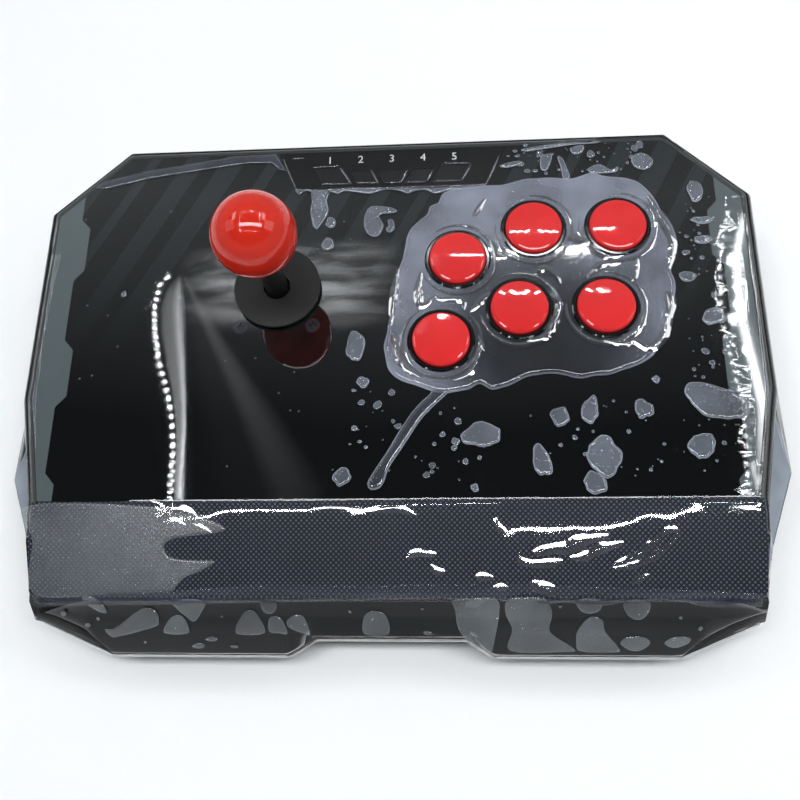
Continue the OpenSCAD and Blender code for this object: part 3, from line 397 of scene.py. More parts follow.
dress(["pivot_ring", "pivot_ball", "actuator", "restrictor_gate"],
      mouldedPlastic("white_acetal", "#dedbd2", 0.4, 0.5, 0.01))
dress(["lever_switches"], mouldedPlastic("red_switch_case", "#a42a20", 0.45, 0.5, 0.02))
dress(["button_switches", "key_switches", "board_parts"],
      mouldedPlastic("moulded_switch_case", "#2c2d2f", 0.45, 0.5, 0.02))
dress(["key_board", "lever_board", "main_board"], polishedPlastic("green_solder_mask", "#1d5a37", 0.3))
dress(["rubber_feet", "cable_grommet"], mouldedPlastic("moulded_rubber", "#232324", 0.75, 0.8, 0.05))
print("stage: plain finishes")


# Wrist rest: embossed weave of small dots on a diagonal

weave = {"pitch": 1.57, "dotColour": "#6a7488", "groundColour": "#0a0d14", "cloudColour": "#12161f",
         "cloudScale": 14.0, "depth": 0.25, "roughness": 0.48, "specular": 0.25}


def embossedSheet(setup):
    # soft-touch sheet embossed with a roller: paler dots in a diagonal weave
    material, shader, add = startMaterial("embossed_soft_touch_sheet")
    split = add("SeparateXYZ", (objectPoint(add, turn=45),))
    waves = []
    for axis in ("X", "Y"):
        angle = add("Math", (split.outputs[axis], 2 * math.pi / (setup["pitch"] * mm)), operation="MULTIPLY")
        waves.append(add("Math", (angle,), operation="COSINE"))
    dots = add("MapRange", (add("Math", waves, operation="ADD"), 0.2, 1.7, 0.0, 1.0))
    cloud = add("TexNoise", {"Vector": objectPoint(add), "Scale": setup["cloudScale"], "Detail": 2.0})
    ground = add("ValToRGB", (cloud,), [
        (0.35, linear(setup["groundColour"])), (0.7, linear(setup["cloudColour"]))])
    tone = add("Mix", {"Factor": dots, 6: ground, 7: linear(setup["dotColour"])}, data_type="RGBA")
    feed(shader, {
        "Base Color": tone.outputs[2], "Roughness": setup["roughness"], "Specular IOR Level": setup["specular"],
        "Normal": add("Bump", {"Height": dots, "Strength": 0.8, "Distance": setup["depth"] * mm})})
    return material


dress(["wrist_rest"], embossedSheet(weave))
print("stage: wrist rest")


# Face panel: dark print of slanted bars between two grey side bands, under polished plastic

panelPrint = {"ground": "#0e1011", "bar": "#23282a", "band": "#586163", "bandHalfWidth": 147, "bandStep": 4.5,
              "stepEvery": 31, "stepFrom": 11, "stepTo": 16, "barTurn": 28, "barEvery": 9, "barHalf": 3.2,
              "barSwell": 0.12, "fadeFrom": 5, "fadeTo": 95, "roughness": 0.025, "specular": 0.35}


def printedPanel(setup):
    # polycarbonate sheet printed on its back: mirror gloss over a dark print
    material, shader, add = startMaterial("printed_polycarbonate")
    split = add("SeparateXYZ", (objectPoint(add),))
    sideways = add("Math", (split.outputs["X"],), operation="ABSOLUTE")
    wave = add("Math", (split.outputs["Y"], setup["stepEvery"] * mm), operation="PINGPONG")
    stepped = add("MapRange", (wave, setup["stepFrom"] * mm, setup["stepTo"] * mm, 0.0, 1.0))
    inside = (setup["bandHalfWidth"] - setup["bandStep"]) * mm
    edge = add("Math", (stepped, setup["bandStep"] * mm, inside), operation="MULTIPLY_ADD")
    band = add("Math", (sideways, edge), operation="GREATER_THAN")
    across = add("SeparateXYZ", (objectPoint(add, turn=setup["barTurn"]),)).outputs["X"]
    barWave = add("Math", (across, setup["barEvery"] * mm), operation="PINGPONG")
    slow = add("Math", (across, setup["stepEvery"] * mm), operation="PINGPONG")
    width = add("Math", (slow, setup["barSwell"], setup["barHalf"] * mm), operation="MULTIPLY_ADD")
    bars = add("Math", (barWave, width), operation="GREATER_THAN")
    fade = add("MapRange", (split.outputs["Y"], setup["fadeFrom"] * mm, setup["fadeTo"] * mm, 0.0, 1.0))
    tone = linear(setup["ground"])
    for share, colour in ((add("Math", (bars, fade), operation="MULTIPLY"), "bar"), (band, "band")):
        tone = add("Mix", {"Factor": share, 6: tone, 7: linear(setup[colour])}, data_type="RGBA").outputs[2]
    feed(shader, {
        "Base Color": tone, "Roughness": setup["roughness"], "Specular IOR Level": setup["specular"]})
    return material


dress(["face_panel"], printedPanel(panelPrint))
print("stage: face panel")

# Protective film: one clear sheet shrunk over the deck, the side walls, the wings and the front ledge

# fall is the slope of the wrist rest, bend half the width of the row of faces where the film turns down to it
filmShape = {"gap": 0.55, "thick": 0.12, "fall": 10.5 / 39, "wristY": -58.5, "deckZ": 52.0, "pitch": 1.6, "bend": 0.35,
             "holeTrim": 0.2, "wobble": 0.22, "holeSides": 72, "leverHole": 12.2, "rim": 15.0, "cutterTall": 40,
             "cutterZ": 55, "smooth": 50}
# how the film stands off: wave lengths in X and Y and the layer of noise
filmWaves = {"broad": (46, 30, 0.3), "small": (11, 9, 4.1), "calm": (55, 45, 1.7), "zigzag": (9, 3.6, 5.2)}
# its level and the height of each wave; where it is loose: past side and front, fully so after the given widths
filmRise = {"level": 0.18, "broad": 0.16, "small": 0.05, "calm": 0.1, "zigzag": 0.05, "side": 138, "sideWidth": 12,
            "sideShare": 0.8, "front": -57, "frontWidth": 5, "frontCalm": 0.6, "everywhere": 0.02, "border": 0.2}
upperLine = pairs(128.5, 118, 165, 83, 165, -12, 156, -58.5, 152, -97.5, 119.5, -97.5, 43.5, -97.5, 32, -97.5)
wingLine = pairs(128.5, 118, 165, 83, 169, -44, 157.5, -75, 152, -101, 129.6, -104, 43.5, -104, 32, -104)
creaseLine = pairs(128.5, 118, 165, 83, 169, -44, 157.5, -75, 152, -104.5, 127, -110.5, 43.5, -110.5, 32, -110.5)
lipLine = pairs(128.5, 118, 165, 83, 169, -44, 157.5, -75, 152, -104.5, 119.5, -118, 43.5, -118, 32, -111.2)
# each level of the film: outline, how far inside it, height
filmLevels = [(upperLine, 5.2, 52.0), (upperLine, 3.6, 50.8), (upperLine, 2.0, 48.0), (upperLine, 0, 38.2),
              (wingLine, 0, 34.2), (creaseLine, 0, 30.2), (lipLine, 0.8, 24.85), (lipLine, 0.1, 24.2),
              (lipLine, -0.1, 23.6), (lipLine, -0.2, 22.0), (lipLine, -0.9, 20.6)]
# ridges of the film: points along the crest, half width, height
filmRidges = [
    (pairs(-158, 60, -160, 20, -159, -12, -153, -50), 1.8, 0.5), (pairs(160, 71, 160, 40, 158, 9, 157, -20, 154, -50),
    1.6, 0.4)]
buttonSpots = pairs(30.4, 50.8, 64.7, 65.2, 102, 65.2, 22.8, 11.4, 57.1, 25.8, 94.4, 25.8)
leverSpot = (-50.5, 38.5)
rimHoles = [(x, y, filmShape["rim"] - filmShape["holeTrim"]) for x, y in buttonSpots]


def wholeLine(half):
    return [Vector((x, y)) for x, y in half] + [Vector((-x, y)) for x, y in reversed(half)]


def insetLine(points, gap):
    # moves an outline inwards by gap, outwards where gap is negative
    moved = []
    for i, here in enumerate(points):
        before = here - points[i - 1]
        after = points[(i + 1) % len(points)] - here
        if before.length < 1e-6 or after.length < 1e-6:
            moved.append(here.copy())
            continue
        u = Vector((before.y, -before.x)).normalized()
        v = Vector((after.y, -after.x)).normalized()
        moved.append(here + (u + v) * gap / (1 + u.dot(v)))
    return moved


def wave(x, y, size):
    # smooth noise: size holds its lengths in X and Y and its layer
    return noise.noise(Vector((x / size[0], y / size[1], size[2])))


def slopeHeight(y):
    return filmShape["deckZ"] - max(0.0, filmShape["wristY"] - y) * filmShape["fall"]


def ridgeLift(x, y):
    lift = 0.0
    spot = Vector((x, y))
    for crest, wide, high in filmRidges:
        reach = wide * 3
        if any(not min(line) - reach <= value <= max(line) + reach for value, line in zip((x, y), zip(*crest))):
            continue
        nearest = 1e9
        for a, b in zip(crest, crest[1:]):
            a, b = Vector(a), Vector(b)
            t = min(1.0, max(0.0, (spot - a).dot(b - a) / (b - a).length_squared))
            nearest = min(nearest, (spot - a - (b - a) * t).length)
        lift = max(lift, high * math.exp(-(nearest / wide) ** 2))
    return lift


def filmLift(x, y):
    # how far the film stands off: long soft waves, small creases near the sides and over the wrist rest, and the ridges
    rise = filmRise
    edge = min(1.0, max(0.0, (abs(x) - rise["side"]) / rise["sideWidth"]))
    front = min(1.0, max(0.0, (rise["front"] - y) / rise["frontWidth"]))
    loose = (rise["everywhere"] + max(front, edge * rise["sideShare"])) * (1 - rise["frontCalm"] * front)
    calm = rise["calm"] * (1 - front) * wave(x, y, filmWaves["calm"])
    zigzag = rise["zigzag"] * edge * wave(x, y, filmWaves["zigzag"]) if x > 0 else 0.0
    creases = rise["broad"] * wave(x, y, filmWaves["broad"]) + rise["small"] * wave(x, y, filmWaves["small"])
    return rise["level"] + calm + zigzag + creases * loose + ridgeLift(x, y)


def segmentSteps(values, pitch):
    # splits each stretch between two values into even steps of about pitch
    steps = [values[0]]
    for a, b in zip(values, values[1:]):
        count = max(1, round(abs(b - a) / pitch))
        steps += [a + (b - a) * (i + 1) / count for i in range(count)]
    return steps


def filmSheet(shape):
    gap = shape["gap"]
    rings = [insetLine(wholeLine(line), inset - gap) for line, inset, height in filmLevels]
    top = rings[0]
    frontWidth = top[4].x
    bend = [top[3].y + shape["bend"], top[3].y - shape["bend"]]
    rows = sorted(segmentSteps([spot.y for spot in top[:5]], shape["pitch"]) + bend, reverse=True)
    frontStops = [-frontWidth, -top[5].x, -top[6].x, -top[7].x, top[7].x, top[6].x, top[5].x, frontWidth]
    columns = [x / frontWidth for x in segmentSteps(frontStops, shape["pitch"])]

    def halfWidth(y):
        # half the width at y, the segment of the outline that is met there, and the share along it
        for i in range(4):
            if y >= top[i + 1].y - 1e-6:
                t = (top[i].y - y) / (top[i].y - top[i + 1].y)
                return top[i].x + (top[i + 1].x - top[i].x) * t, i, t
        return top[4].x, 3, 1.0

    mesh = bmesh.new()
    grid = []
    for y in rows:
        wide = halfWidth(y)[0]
        line = []
        for u in columns:
            lift = filmLift(u * wide, y) if rows[-1] < y < rows[0] and abs(u) < 1 else filmRise["border"]
            line.append(mesh.verts.new((u * wide, y, slopeHeight(y) + gap + lift - filmRise["border"])))
        grid.append(line)
    for back, near in zip(grid, grid[1:]):
        for c in range(len(columns) - 1):
            mesh.faces.new((back[c], near[c], near[c + 1], back[c + 1]))

    # the border, clockwise from the back left corner, as (vertex, outline segment, share along it)
    border = [(vertex, 15, (u + 1) / 2) for vertex, u in zip(grid[0], columns)]
    sides = [(line, *halfWidth(y)[1:]) for line, y in zip(grid, rows)]
    border += [(line[-1], i, t) for line, i, t in sides[1:]]
    for c in range(len(columns) - 2, -1, -1):
        x = columns[c] * frontWidth
        i = next(i for i in range(4, 11) if top[i].x + 1e-6 >= x >= top[i + 1].x - 1e-6)
        border.append((grid[-1][c], i, (top[i].x - x) / (top[i].x - top[i + 1].x)))
    border += [(line[0], 14 - i, 1 - t) for line, i, t in reversed(sides[1:-1])]

    last = [entry[0] for entry in border]
    for ring, above, level in zip(rings[1:], filmLevels, filmLevels[1:]):
        height = level[2]
        steps = 3 if abs(above[2] - height) > 6 else 1
        ends = []
        for _, i, t in border:
            spot = ring[i] + (ring[(i + 1) % len(ring)] - ring[i]) * t
            ends.append(Vector((*spot, min(height, slopeHeight(spot.y) + gap * 0.6))))
        start = [vertex.co.copy() for vertex in last]
        for step in range(1, steps + 1):
            below = []
            for begin, end in zip(start, ends):
                point = begin.lerp(end, step / steps)
                if step < steps or 24 < height < 50:
                    wobble = shape["wobble"] * noise.noise(Vector((point.x / 11, point.y / 11, point.z / 7)))
                    point += Vector((point.x, point.y, 0)).normalized() * abs(wobble)
                below.append(mesh.verts.new(point))
            for k in range(len(border)):
                j = (k + 1) % len(border)
                mesh.faces.new((last[k], last[j], below[j], below[k]))
            last = below
    bmesh.ops.recalc_face_normals(mesh, faces=mesh.faces)
    return meshObject(mesh, "film_sheet")


def cutHoles(piece, spots):
    # cuts round holes straight down through a piece
    for x, y, radius in spots:
        deselectAll()
        bpy.ops.mesh.primitive_cylinder_add(
            vertices=filmShape["holeSides"], radius=radius * mm, depth=filmShape["cutterTall"] * mm,
            location=(x * mm, y * mm, filmShape["cutterZ"] * mm))
        cutter = bpy.context.object
        modifier = piece.modifiers.new("hole", "BOOLEAN")
        modifier.operation = "DIFFERENCE"
        modifier.solver = "EXACT"
        modifier.object = cutter
        makeActive(piece)
        bpy.ops.object.modifier_apply(modifier=modifier.name)
        bpy.data.objects.remove(cutter)


def glossOver(material, add, body, index, roughness, bump):
    # mirror gloss by Fresnel over whatever the film lets through
    gloss = add("BsdfGlossy", {"Roughness": roughness, "Normal": bump})
    shine = add("Fresnel", {"IOR": index, "Normal": bump})
    both = add("MixShader", (shine, body, gloss))
    feed(material.node_tree.nodes["Material Output"], {"Surface": both})


def clearFilm(name):
    # clear polyolefin shrink film: only its gloss shows, with stretch marks about 6 mm long over swells of 36 mm
    material, shader, add = startMaterial(name)
    material.node_tree.nodes.remove(shader)
    point = objectPoint(add)
    fine = add("TexNoise", {"Vector": point, "Scale": 160.0, "Detail": 3.0, "Roughness": 0.6})
    broad = add("TexNoise", {"Vector": point, "Scale": 28.0, "Detail": 1.0})
    soft = add("Bump", {"Height": broad, "Strength": 0.2, "Distance": 0.08 * mm})
    bump = add("Bump", {"Height": fine, "Strength": 0.2, "Distance": 0.012 * mm, "Normal": soft})
    glossOver(material, add, add("BsdfTransparent"), 1.36, 0.02, bump)
    return material


def veiledFilm(name, colour, veil, roughness, rim=0.0, index=1.7, clearSpot=None):
    # the same film where air lies under it: a pale veil over what is below, plus a painted highlight that whitens steep
    # slopes by rim, under full gloss, with clouds about 26 mm and swells about 24 mm long;
    # clearSpot is a place, the radii between which the veil comes back, and the share left at the place
    material, shader, add = startMaterial(name)
    point = objectPoint(add)
    cloud = add("TexNoise", {"Vector": point, "Scale": 38.0, "Detail": 2.0})
    feed(shader, {
        "Base Color": add("ValToRGB", (cloud,), [(0.3, linear(colour, 0.8)), (0.7, linear(colour))]),
        "Roughness": 0.7, "Specular IOR Level": 0.0})
    amount = add("MapRange", (cloud, 0.3, 0.7, veil * 0.75, veil * 1.25))
    if clearSpot:
        place, inner, outer, least = clearSpot
        away = add("VectorMath", (point, Vector(place) * mm), operation="DISTANCE").outputs["Value"]
        thin = add("MapRange", (away, inner * mm, outer * mm, least, 1.0), interpolation_type="SMOOTHSTEP")
        amount = add("Math", (amount, thin), operation="MULTIPLY")
    slope = add("SeparateXYZ", (add("NewGeometry").outputs["Normal"],))
    # painted highlight: the veil turns whiter as the surface turns steep, for the bright edges of folds and pockets
    edgeHighlight = add("MapRange", (slope.outputs["Z"], 0.97, 0.75, 0.0, rim))
    amount = add("Math", (amount, edgeHighlight), operation="ADD", use_clamp=True)
    body = add("MixShader", (amount, add("BsdfTransparent"), shader))
    soft = add("TexNoise", {"Vector": point, "Scale": 42.0, "Detail": 1.0})
    bump = add("Bump", {"Height": soft, "Strength": 0.5, "Distance": 0.5 * mm})
    glossOver(material, add, body, index, roughness, bump)
    return material


film = filmSheet(filmShape)
thicken = film.modifiers.new("thickness", "SOLIDIFY")
thicken.thickness = filmShape["thick"] * mm
thicken.offset = 1
applyAll(film)
cutHoles(film, rimHoles + [(*leverSpot, filmShape["leverHole"])])
makeActive(film)
bpy.ops.object.shade_smooth_by_angle(angle=math.radians(filmShape["smooth"]))
film.data.materials.append(clearFilm("clear_shrink_film"))
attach(film, "case")
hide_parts("protective_film")
print("stage: film", len(film.data.polygons))


# Air pockets under the film: islands with a steep edge and a flat crown, on the deck, the wrist rest and the ledge; the
# pale veil on the wrist rest also paints the soft sheen of a lamp

pocketSetup = {"points": 44, "seed": 11, "deckHeight": 0.55, "smallCount": 260, "smallSize": (0.3, 1.0),
               "crowds": [(54, 118, 95, 112, 46), (129, 146, -30, 80, 40), (-16, 3, -40, 0, 16), (0, 40, -54, -18, 22)],
               "crowdSize": 1.9, "outlinePitch": 2.0, "skin": 0.02, "patchHeight": 1.1,
               "waves": ((0.4, 0.9, 3.7), (0.12, 2.6, 1.9)), "half": 150, "right": (60, 85), "deep": (-55, 165),
               "sideEnd": 146, "backCorner": (120, 80), "leftShare": 0.35, "patchBox": (-2, 128, -12, 94),
               "keyBox": (56, 88), "leverClear": 34}
ledge = {"edge": -97.8, "line": pairs(-97.5, 38, -110.5, 30, -118, 24), "lift": 0.62}
band = {"edge": -96.2, "foot": -99.8, "reach": 3.6, "lift": 0.25, "edgeLift": 0.9, "footLift": 0.95}
# share of the rim's width moved inwards, share of the height
rimSteps = pairs(0, 0, 0.2, 0.5, 0.5, 0.82, 0.85, 0.98, 1, 1, 1.15, 1)
# single blobs: place, half width, half depth, turn
deckPockets = [
    (72, -24, 3.9, 4.2, 0), (85, -21, 3.7, 5.8, 0), (107, -21, 3.7, 4.9, 0), (113, -8, 1.7, 1.8, 0),
    (40, -31, 7.9, 5.7, 0), (64, -43, 3.7, 6.9, 15), (89, -41, 6.9, 8.6, 0), (85, -52, 4.4, 4.6, 0),
    (137, -18, 12.1, 7.5, -25), (129, -38, 5.2, 6, -20), (140, 21, 4.6, 3.8, 0), (138, 82, 3.5, 5.2, 0),
    (139, 68, 4.4, 2, 0), (139, 58, 3.5, 2, 0), (131, 40, 3.4, 2.4, 0), (28, -37, 1.2, 1.3, 0),
    (36, -54, 1.6, 1.7, 0), (78, -33, 1, 1.1, 0), (-34, 78, 3.8, 8.1, 0), (-28, 72, 2.3, 2.7, 0),
    (-29, 61, 2.8, 3.1, 0), (-15, 10, 4, 6.7, 0), (-11, -7, 2.6, 2.8, 0), (-19, -49, 3.8, 3.4, 20),
    (-122, 38, 1.2, 1.3, 0)]
# outlines of pockets and of the film's loose parts, traced
backPockets = [
    pairs(-10.8, 78.6, -8.7, 80.2, -4.5, 80, 0.8, 78.9, 2.9, 76.9, -0.8, 76, -3.4, 76.1, -5.5, 74.8, -4.4, 72.3,
    -3.3, 69.9, -4.3, 66.4, -6.3, 64.1, -9.9, 64.9, -12.1, 69, -12.4, 73.8), pairs(-1.6, 72.4, 0.4, 73, 1.5, 71.2,
    1.7, 67.6, -0.6, 66, -2.4, 67.8, -1, 69.8), pairs(50.5, 100, 59, 102.1, 61, 100.6, 53.6, 98.4), pairs(69.6, 103.7,
    73.9, 105.5, 74.8, 103, 72.4, 96.7, 69.5, 96.8), pairs(77.3, 103.4, 79.6, 102.8, 82.6, 92.3, 79.4, 91.5,
    78.7, 97.1), pairs(83.4, 108.1, 89.8, 109.4, 88.7, 105.4, 84.9, 104.6), pairs(91.1, 96.7, 96.4, 98.9, 101.4, 95.6,
    104.6, 97.3, 103.8, 94.4, 97.1, 93.8, 92, 94.2), pairs(111.2, 102, 115.5, 104.3, 120, 101.6, 120.5, 97.9,
    116.8, 94.9, 111.8, 97.1), pairs(61, 108.4, 72, 110.2, 86, 111.4, 97, 111.6, 96, 110.4, 84, 109.8, 72, 108.2,
    63, 107)]
backVeil = pairs(
    -143, 94.9, -139, 98.1, -116.8, 103.6, -95, 106.8, -75.6, 110, -56, 110.4, -50.4, 101, -53.6, 102, -57.1, 105.7,
    -68, 106.1, -84.9, 104, -116.2, 99.4, -136.6, 94.6)
airChannel = pairs(
    20.9, -7.9, 26.5, -10.2, 25.2, -12.9, 20.5, -17.4, 16.2, -21.8, 12.8, -26.2, 9.5, -31.5, 6.2, -36.7, 2.9, -41.8,
    0.4, -46.1, -0.8, -50.4, -2.8, -53.8, -6.5, -54.6, -8.2, -52, -6.2, -47.8, -3, -42.6, 0.3, -37.5, 3.6, -31.4,
    6.9, -26.1, 10.3, -20.8, 14.1, -16.4, 17.9, -12.8)
ledgePockets = [
    pairs(-120.6, -109.1, -116, -108.4, -104, -101, -98, -102, -97, -106, -99.7, -108.3, -115, -111.8,
    -118.5, -111.8), pairs(-95.2, -110.4, -92.7, -105.3, -89.2, -103.4, -86, -104.8, -84.7, -110.4),
    pairs(-64.4, -110.4, -61, -103, -57, -101.5, -54, -104.5, -52.4, -110.4), pairs(-50.4, -109.6, -50, -105,
    -47.5, -103.7, -44.4, -105.2, -42.6, -110.4, -45.6, -110.4), pairs(-42, -108, -42.3, -105.2, -39, -103.4,
    -35.4, -104, -33.3, -109.6, -35.8, -110.3), pairs(-10.3, -110.4, -10, -103.6, -5.6, -101.7, -1, -103.6,
    -0.3, -110.4), pairs(-90.8, -98, -77, -98, -78.4, -102.3, -82, -106, -86, -103.4, -90.5, -99.4),
    pairs(-52.8, -98.3, -46.7, -98.3, -47, -101.5, -49.6, -103, -52.3, -101.8), pairs(-127.8, -97, -122.8, -97,
    -119.2, -101.6, -120.7, -102.8, -126.2, -100.2), pairs(26.3, -97.8, 33.6, -97.2, 44.5, -97.5, 45.3, -103,
    44.4, -108, 42.3, -116.6, 39.5, -116.6, 33.3, -114.4, 28.5, -108, 27.4, -101.2), pairs(48.2, -98, 53.7, -97,
    64, -97.5, 66.8, -103, 66, -109.4, 76.3, -116, 70.2, -117, 49.7, -116.6, 50.6, -108.7, 48, -103),
    pairs(77.3, -108.6, 82, -103.8, 86.9, -104.9, 88.2, -109.3, 94.5, -116, 91.4, -117, 78.3, -116.6, 76.6, -112.4),
    pairs(76.9, -97.7, 85.7, -97.7, 86, -101.2, 82, -102.6, 78, -101.4), pairs(95.5, -98.2, 105, -98.1, 105.5, -101.8,
    102, -104.8, 97.2, -103.3), pairs(94.4, -113.4, 97.3, -111.3, 103.5, -111.3, 106.4, -113.4, 102.3, -116.4,
    97.6, -115.9), pairs(112, -113.4, 115.8, -111.2, 122, -111.5, 121.4, -113.6, 116, -115.2), pairs(-84, -115.5,
    -81, -114, -78.4, -115, -80.6, -116.4), pairs(-78, -112.8, -75, -111.6, -72.4, -112.6, -75, -113.6)]
ledgeDots = [
    (-138, -103, 1.3, 1, 0), (-123, -105, 0.8, 0.7, 0), (-70, -104, 0.6, 0.5, 0), (-16, -102, 0.7, 0.6, 0),
    (-128, -107.5, 1.2, 0.8, 20), (14, -101, 0.6, 0.5, 0), (70, -100, 0.7, 0.6, 0), (-104, -114, 0.7, 0.6, 0),
    (126, -108, 1, 0.8, 30), (-66, -115.5, 1.6, 0.6, 0), (118, -104, 0.7, 0.6, 0), (16, -110, 2.2, 0.8, 0)]
buttonPatch = pairs(
    1.7, 28.6, -0.4, 19, -2.1, 9.5, -1.1, 1.6, 1.4, -3.1, 5.7, -6.5, 11.5, -9.1, 17.9, -11.3, 25.7, -12.7,
    33.5, -11.3, 39.3, -8.6, 44.1, -11.5, 49.1, -10.3, 53.4, -8.6, 60.5, -5.7, 67.6, -4.3, 73.2, -5.2, 80.1, -6.8,
    88.5, -5.9, 96.9, -4.8, 104.1, -1.9, 109.9, 1, 114.4, 5.5, 118.5, 11.6, 121.3, 19.3, 123.8, 28.8, 125.1, 38.4,
    124.1, 43.3, 125.7, 49.9, 127.2, 56.5, 126.1, 64.9, 124.3, 70.1, 121.7, 73.6, 119.3, 80.7, 115.3, 86.1,
    111.1, 89.8, 103.7, 91.8, 97.8, 93, 91.8, 94.1, 85.6, 92.5, 78, 91.9, 67.4, 92.4, 58.1, 90.9, 48.9, 89.5,
    41.2, 88.9, 32, 88.3, 24.2, 85.9, 21.9, 80.7, 18, 79.1, 16.5, 75.6, 11.9, 70.5, 7.4, 63.7, 6.7, 58.6, 4.5, 50.1,
    3, 43.5, 2.4, 35.2)
# outline of raised film on the left of the wrist rest whose pale veil is a painted sheen of a soft lamp
wristSheenOutline = pairs(
    -151, -60, -92.9, -61.2, -74.8, -65.9, -67.4, -70.5, -81.3, -72.6, -90.3, -74.1, -93.3, -77, -91, -81,
    -81.2, -82.4, -71.7, -82.7, -77, -86.2, -84.4, -89.2, -88.4, -93, -90.8, -94.8, -113.7, -95.6, -148.5, -95.6,
    -149.9, -74.5)
leftBand = pairs(
    -149.4, -95.2, -113.7, -95.2, -90.8, -94.6, -77.8, -93.6, -48.8, -92.1, -16.9, -92.4, 5.2, -92.4, 5, -97.6,
    -33.4, -98.4, -90, -99.4, -114.5, -99.6, -150, -100.4)
rightBand = pairs(
    5.4, -91.9, 22.8, -91.8, 55.3, -91.8, 85.9, -93, 116, -93.9, 148.8, -95.3, 149.9, -99.8, 136.5, -100.6,
    125.9, -99.8, 119.8, -98.4, 110.7, -97.9, 93.9, -98.6, 87.8, -99.8, 80, -99.2, 70.9, -98.6, 66.2, -99.2,
    44.4, -97.8, 26.6, -97.6, 16.3, -97.7, 5.2, -97.7)
stripFringe = pairs(
    -45, 90.8, -38.3, 90, -32.6, 89.6, -26, 89.6, -19.4, 90, -10, 89.9, -0.6, 89.4, 8.7, 89.2, 22.7, 88.9, 34.7, 89.5,
    43.5, 90, 42, 88.1, 27.3, 87.6, 23.6, 86.5, 19.9, 86, 16.2, 88, 10.6, 87.7, 7.8, 86.4, 3, 88.3, -4.3, 88.6,
    -9.9, 87, -15.6, 87.9, -22.2, 88.9, -25, 87.4, -28.8, 88.6, -30.1, 84.4, -31.3, 80.6, -35, 79.6, -37.1, 83.5,
    -37.8, 88.8, -41.2, 89.3, -43, 87.5, -44.8, 89.2)
# folds that stand up as narrow crests: points along the crest, half width
wristFolds = [
    (pairs(-6.9, -63.6, -0.5, -62.6, 5.8, -62.6, 12.1, -64.8), 2), (pairs(-81.3, -67.8, -73, -72), 2),
    (pairs(-98, -66.5, -92, -63, -86, -62.6, -80, -65), 3.6), (pairs(-97, -69, -91, -66.5, -84, -68.6), 2.2),
    (pairs(53, -79.7, 54.7, -83, 61.6, -84.1, 71, -83), 2.4), (pairs(59.4, -79.7, 68, -78.2, 72.5, -77.9, 80, -75,
    89.5, -73.5), 3.3), (pairs(74, -81.9, 80, -81.2, 86, -78.3, 95.5, -76), 2.7), (pairs(89.9, -84.9, 98.4, -82,
    106, -76.8, 112.3, -71.9), 2), (pairs(116.9, -72, 115.6, -74.5, 110.6, -79, 101.3, -84, 91, -85.9), 2),
    (pairs(110, -72.6, 114, -70.9, 117.6, -71.6), 1.8), (pairs(8, -81.8, 12, -79.8, 20, -80.3), 2.2),
    (pairs(17.6, -84.4, 20.4, -86.8, 23.6, -87), 2), (pairs(36, -88.8, 43, -89.3), 2), (pairs(43, -93, 49, -93), 1.5),
    (pairs(98, -91.2, 105, -88.3), 1.8), (pairs(58.4, -90.8, 61.4, -93, 67.6, -93), 3), (pairs(44.2, -66.2,
    45.7, -69.9, 49.5, -72.9), 2.1), (pairs(63.7, -94, 67.8, -96), 2)]
patchFolds = [
    (pairs(69.3, 33.4, 74.1, 28.4, 73.1, 22.1, 68.4, 12.7, 59.7, 10.1), 2.2), (pairs(39, 13.3, 39.9, 7, 35.1, -3.7,
    27.9, -7.4), 2.1), (pairs(1.9, 15.8, 2.7, 9.4, 6.4, -0.1, 13.6, -5.6), 2.1), (pairs(92.3, 9.8, 100.7, 8.1,
    105, 9.5, 111.7, 6.3, 117.8, 11.6, 120.8, 22.5, 120.3, 32), 2.4), (pairs(116.4, 80.8, 121.4, 70.2, 125.3, 56.5,
    122.7, 43.4), 2.7), (pairs(120.3, 32, 122.8, 28.8, 119.6, 16.2), 2.2), (pairs(87.1, 66.2, 88.2, 59.4, 95, 50.8,
    103.8, 50.5), 2.4), (pairs(63.9, 42.6, 68.4, 44.9, 73.3, 41.5, 75.3, 37.3), 2.4), (pairs(85.6, 39.5, 93.2, 45.9,
    102, 46.9), 2.2), (pairs(109.6, 50.3, 108.1, 40.5, 105.7, 38.1), 2.1), (pairs(47.3, 55.6, 49.4, 51.3, 52.3, 51.2),
    2.1), (pairs(14.3, 44.8, 12.8, 36.6, 14.3, 28.3, 20.9, 33.1), 2.2), (pairs(20.9, 31.4, 32, 30.3, 32.9, 25.4), 2),
    (pairs(3.7, 46.8, 1.7, 31.9, 0.7, 19), 2), (pairs(79.4, 60.5, 83.8, 59.5, 89.5, 56.8), 3.3), (pairs(35.5, 24.6,
    41.5, 30.9, 46, 34), 2.1), (pairs(43.4, 81.7, 37.8, 72.2), 1.8)]
keyFolds = [
    pairs(-52, 107.7, -48.8, 99.8, -45, 90.9), pairs(-45, 90.4, -33.6, 89.9, -19.4, 90.2, -0.6, 89.8, 22.7, 89.8,
    44, 90.2), pairs(44, 90.2, 47.4, 97.7, 50.4, 105.2), pairs(-32.6, 92.9, -19.5, 92.7), pairs(-24.5, 101.6,
    -19, 92.8), pairs(-16.2, 92.9, -6.8, 92.8), pairs(-9.7, 99.9, -6.3, 92.7), pairs(-3, 92.7, 4.5, 92.5),
    pairs(7.3, 99.2, 4.5, 92.6), pairs(6.8, 92.5, 16.4, 92.5), pairs(19.2, 98.2, 16.7, 92.9), pairs(19.9, 92.5,
    32.5, 92.6), pairs(37.2, 100.8, 32.9, 92.8), pairs(-37.4, 102.3, -25, 102.7), pairs(24.6, 102.3, 37.3, 101.6),
    pairs(-47.8, 107.6, -42, 107.7)]
collar = {"radius": 17.2, "half": 1.5, "starts": (200, 170, 160, 120, 190, 175), "sweep": 300, "step": 15}
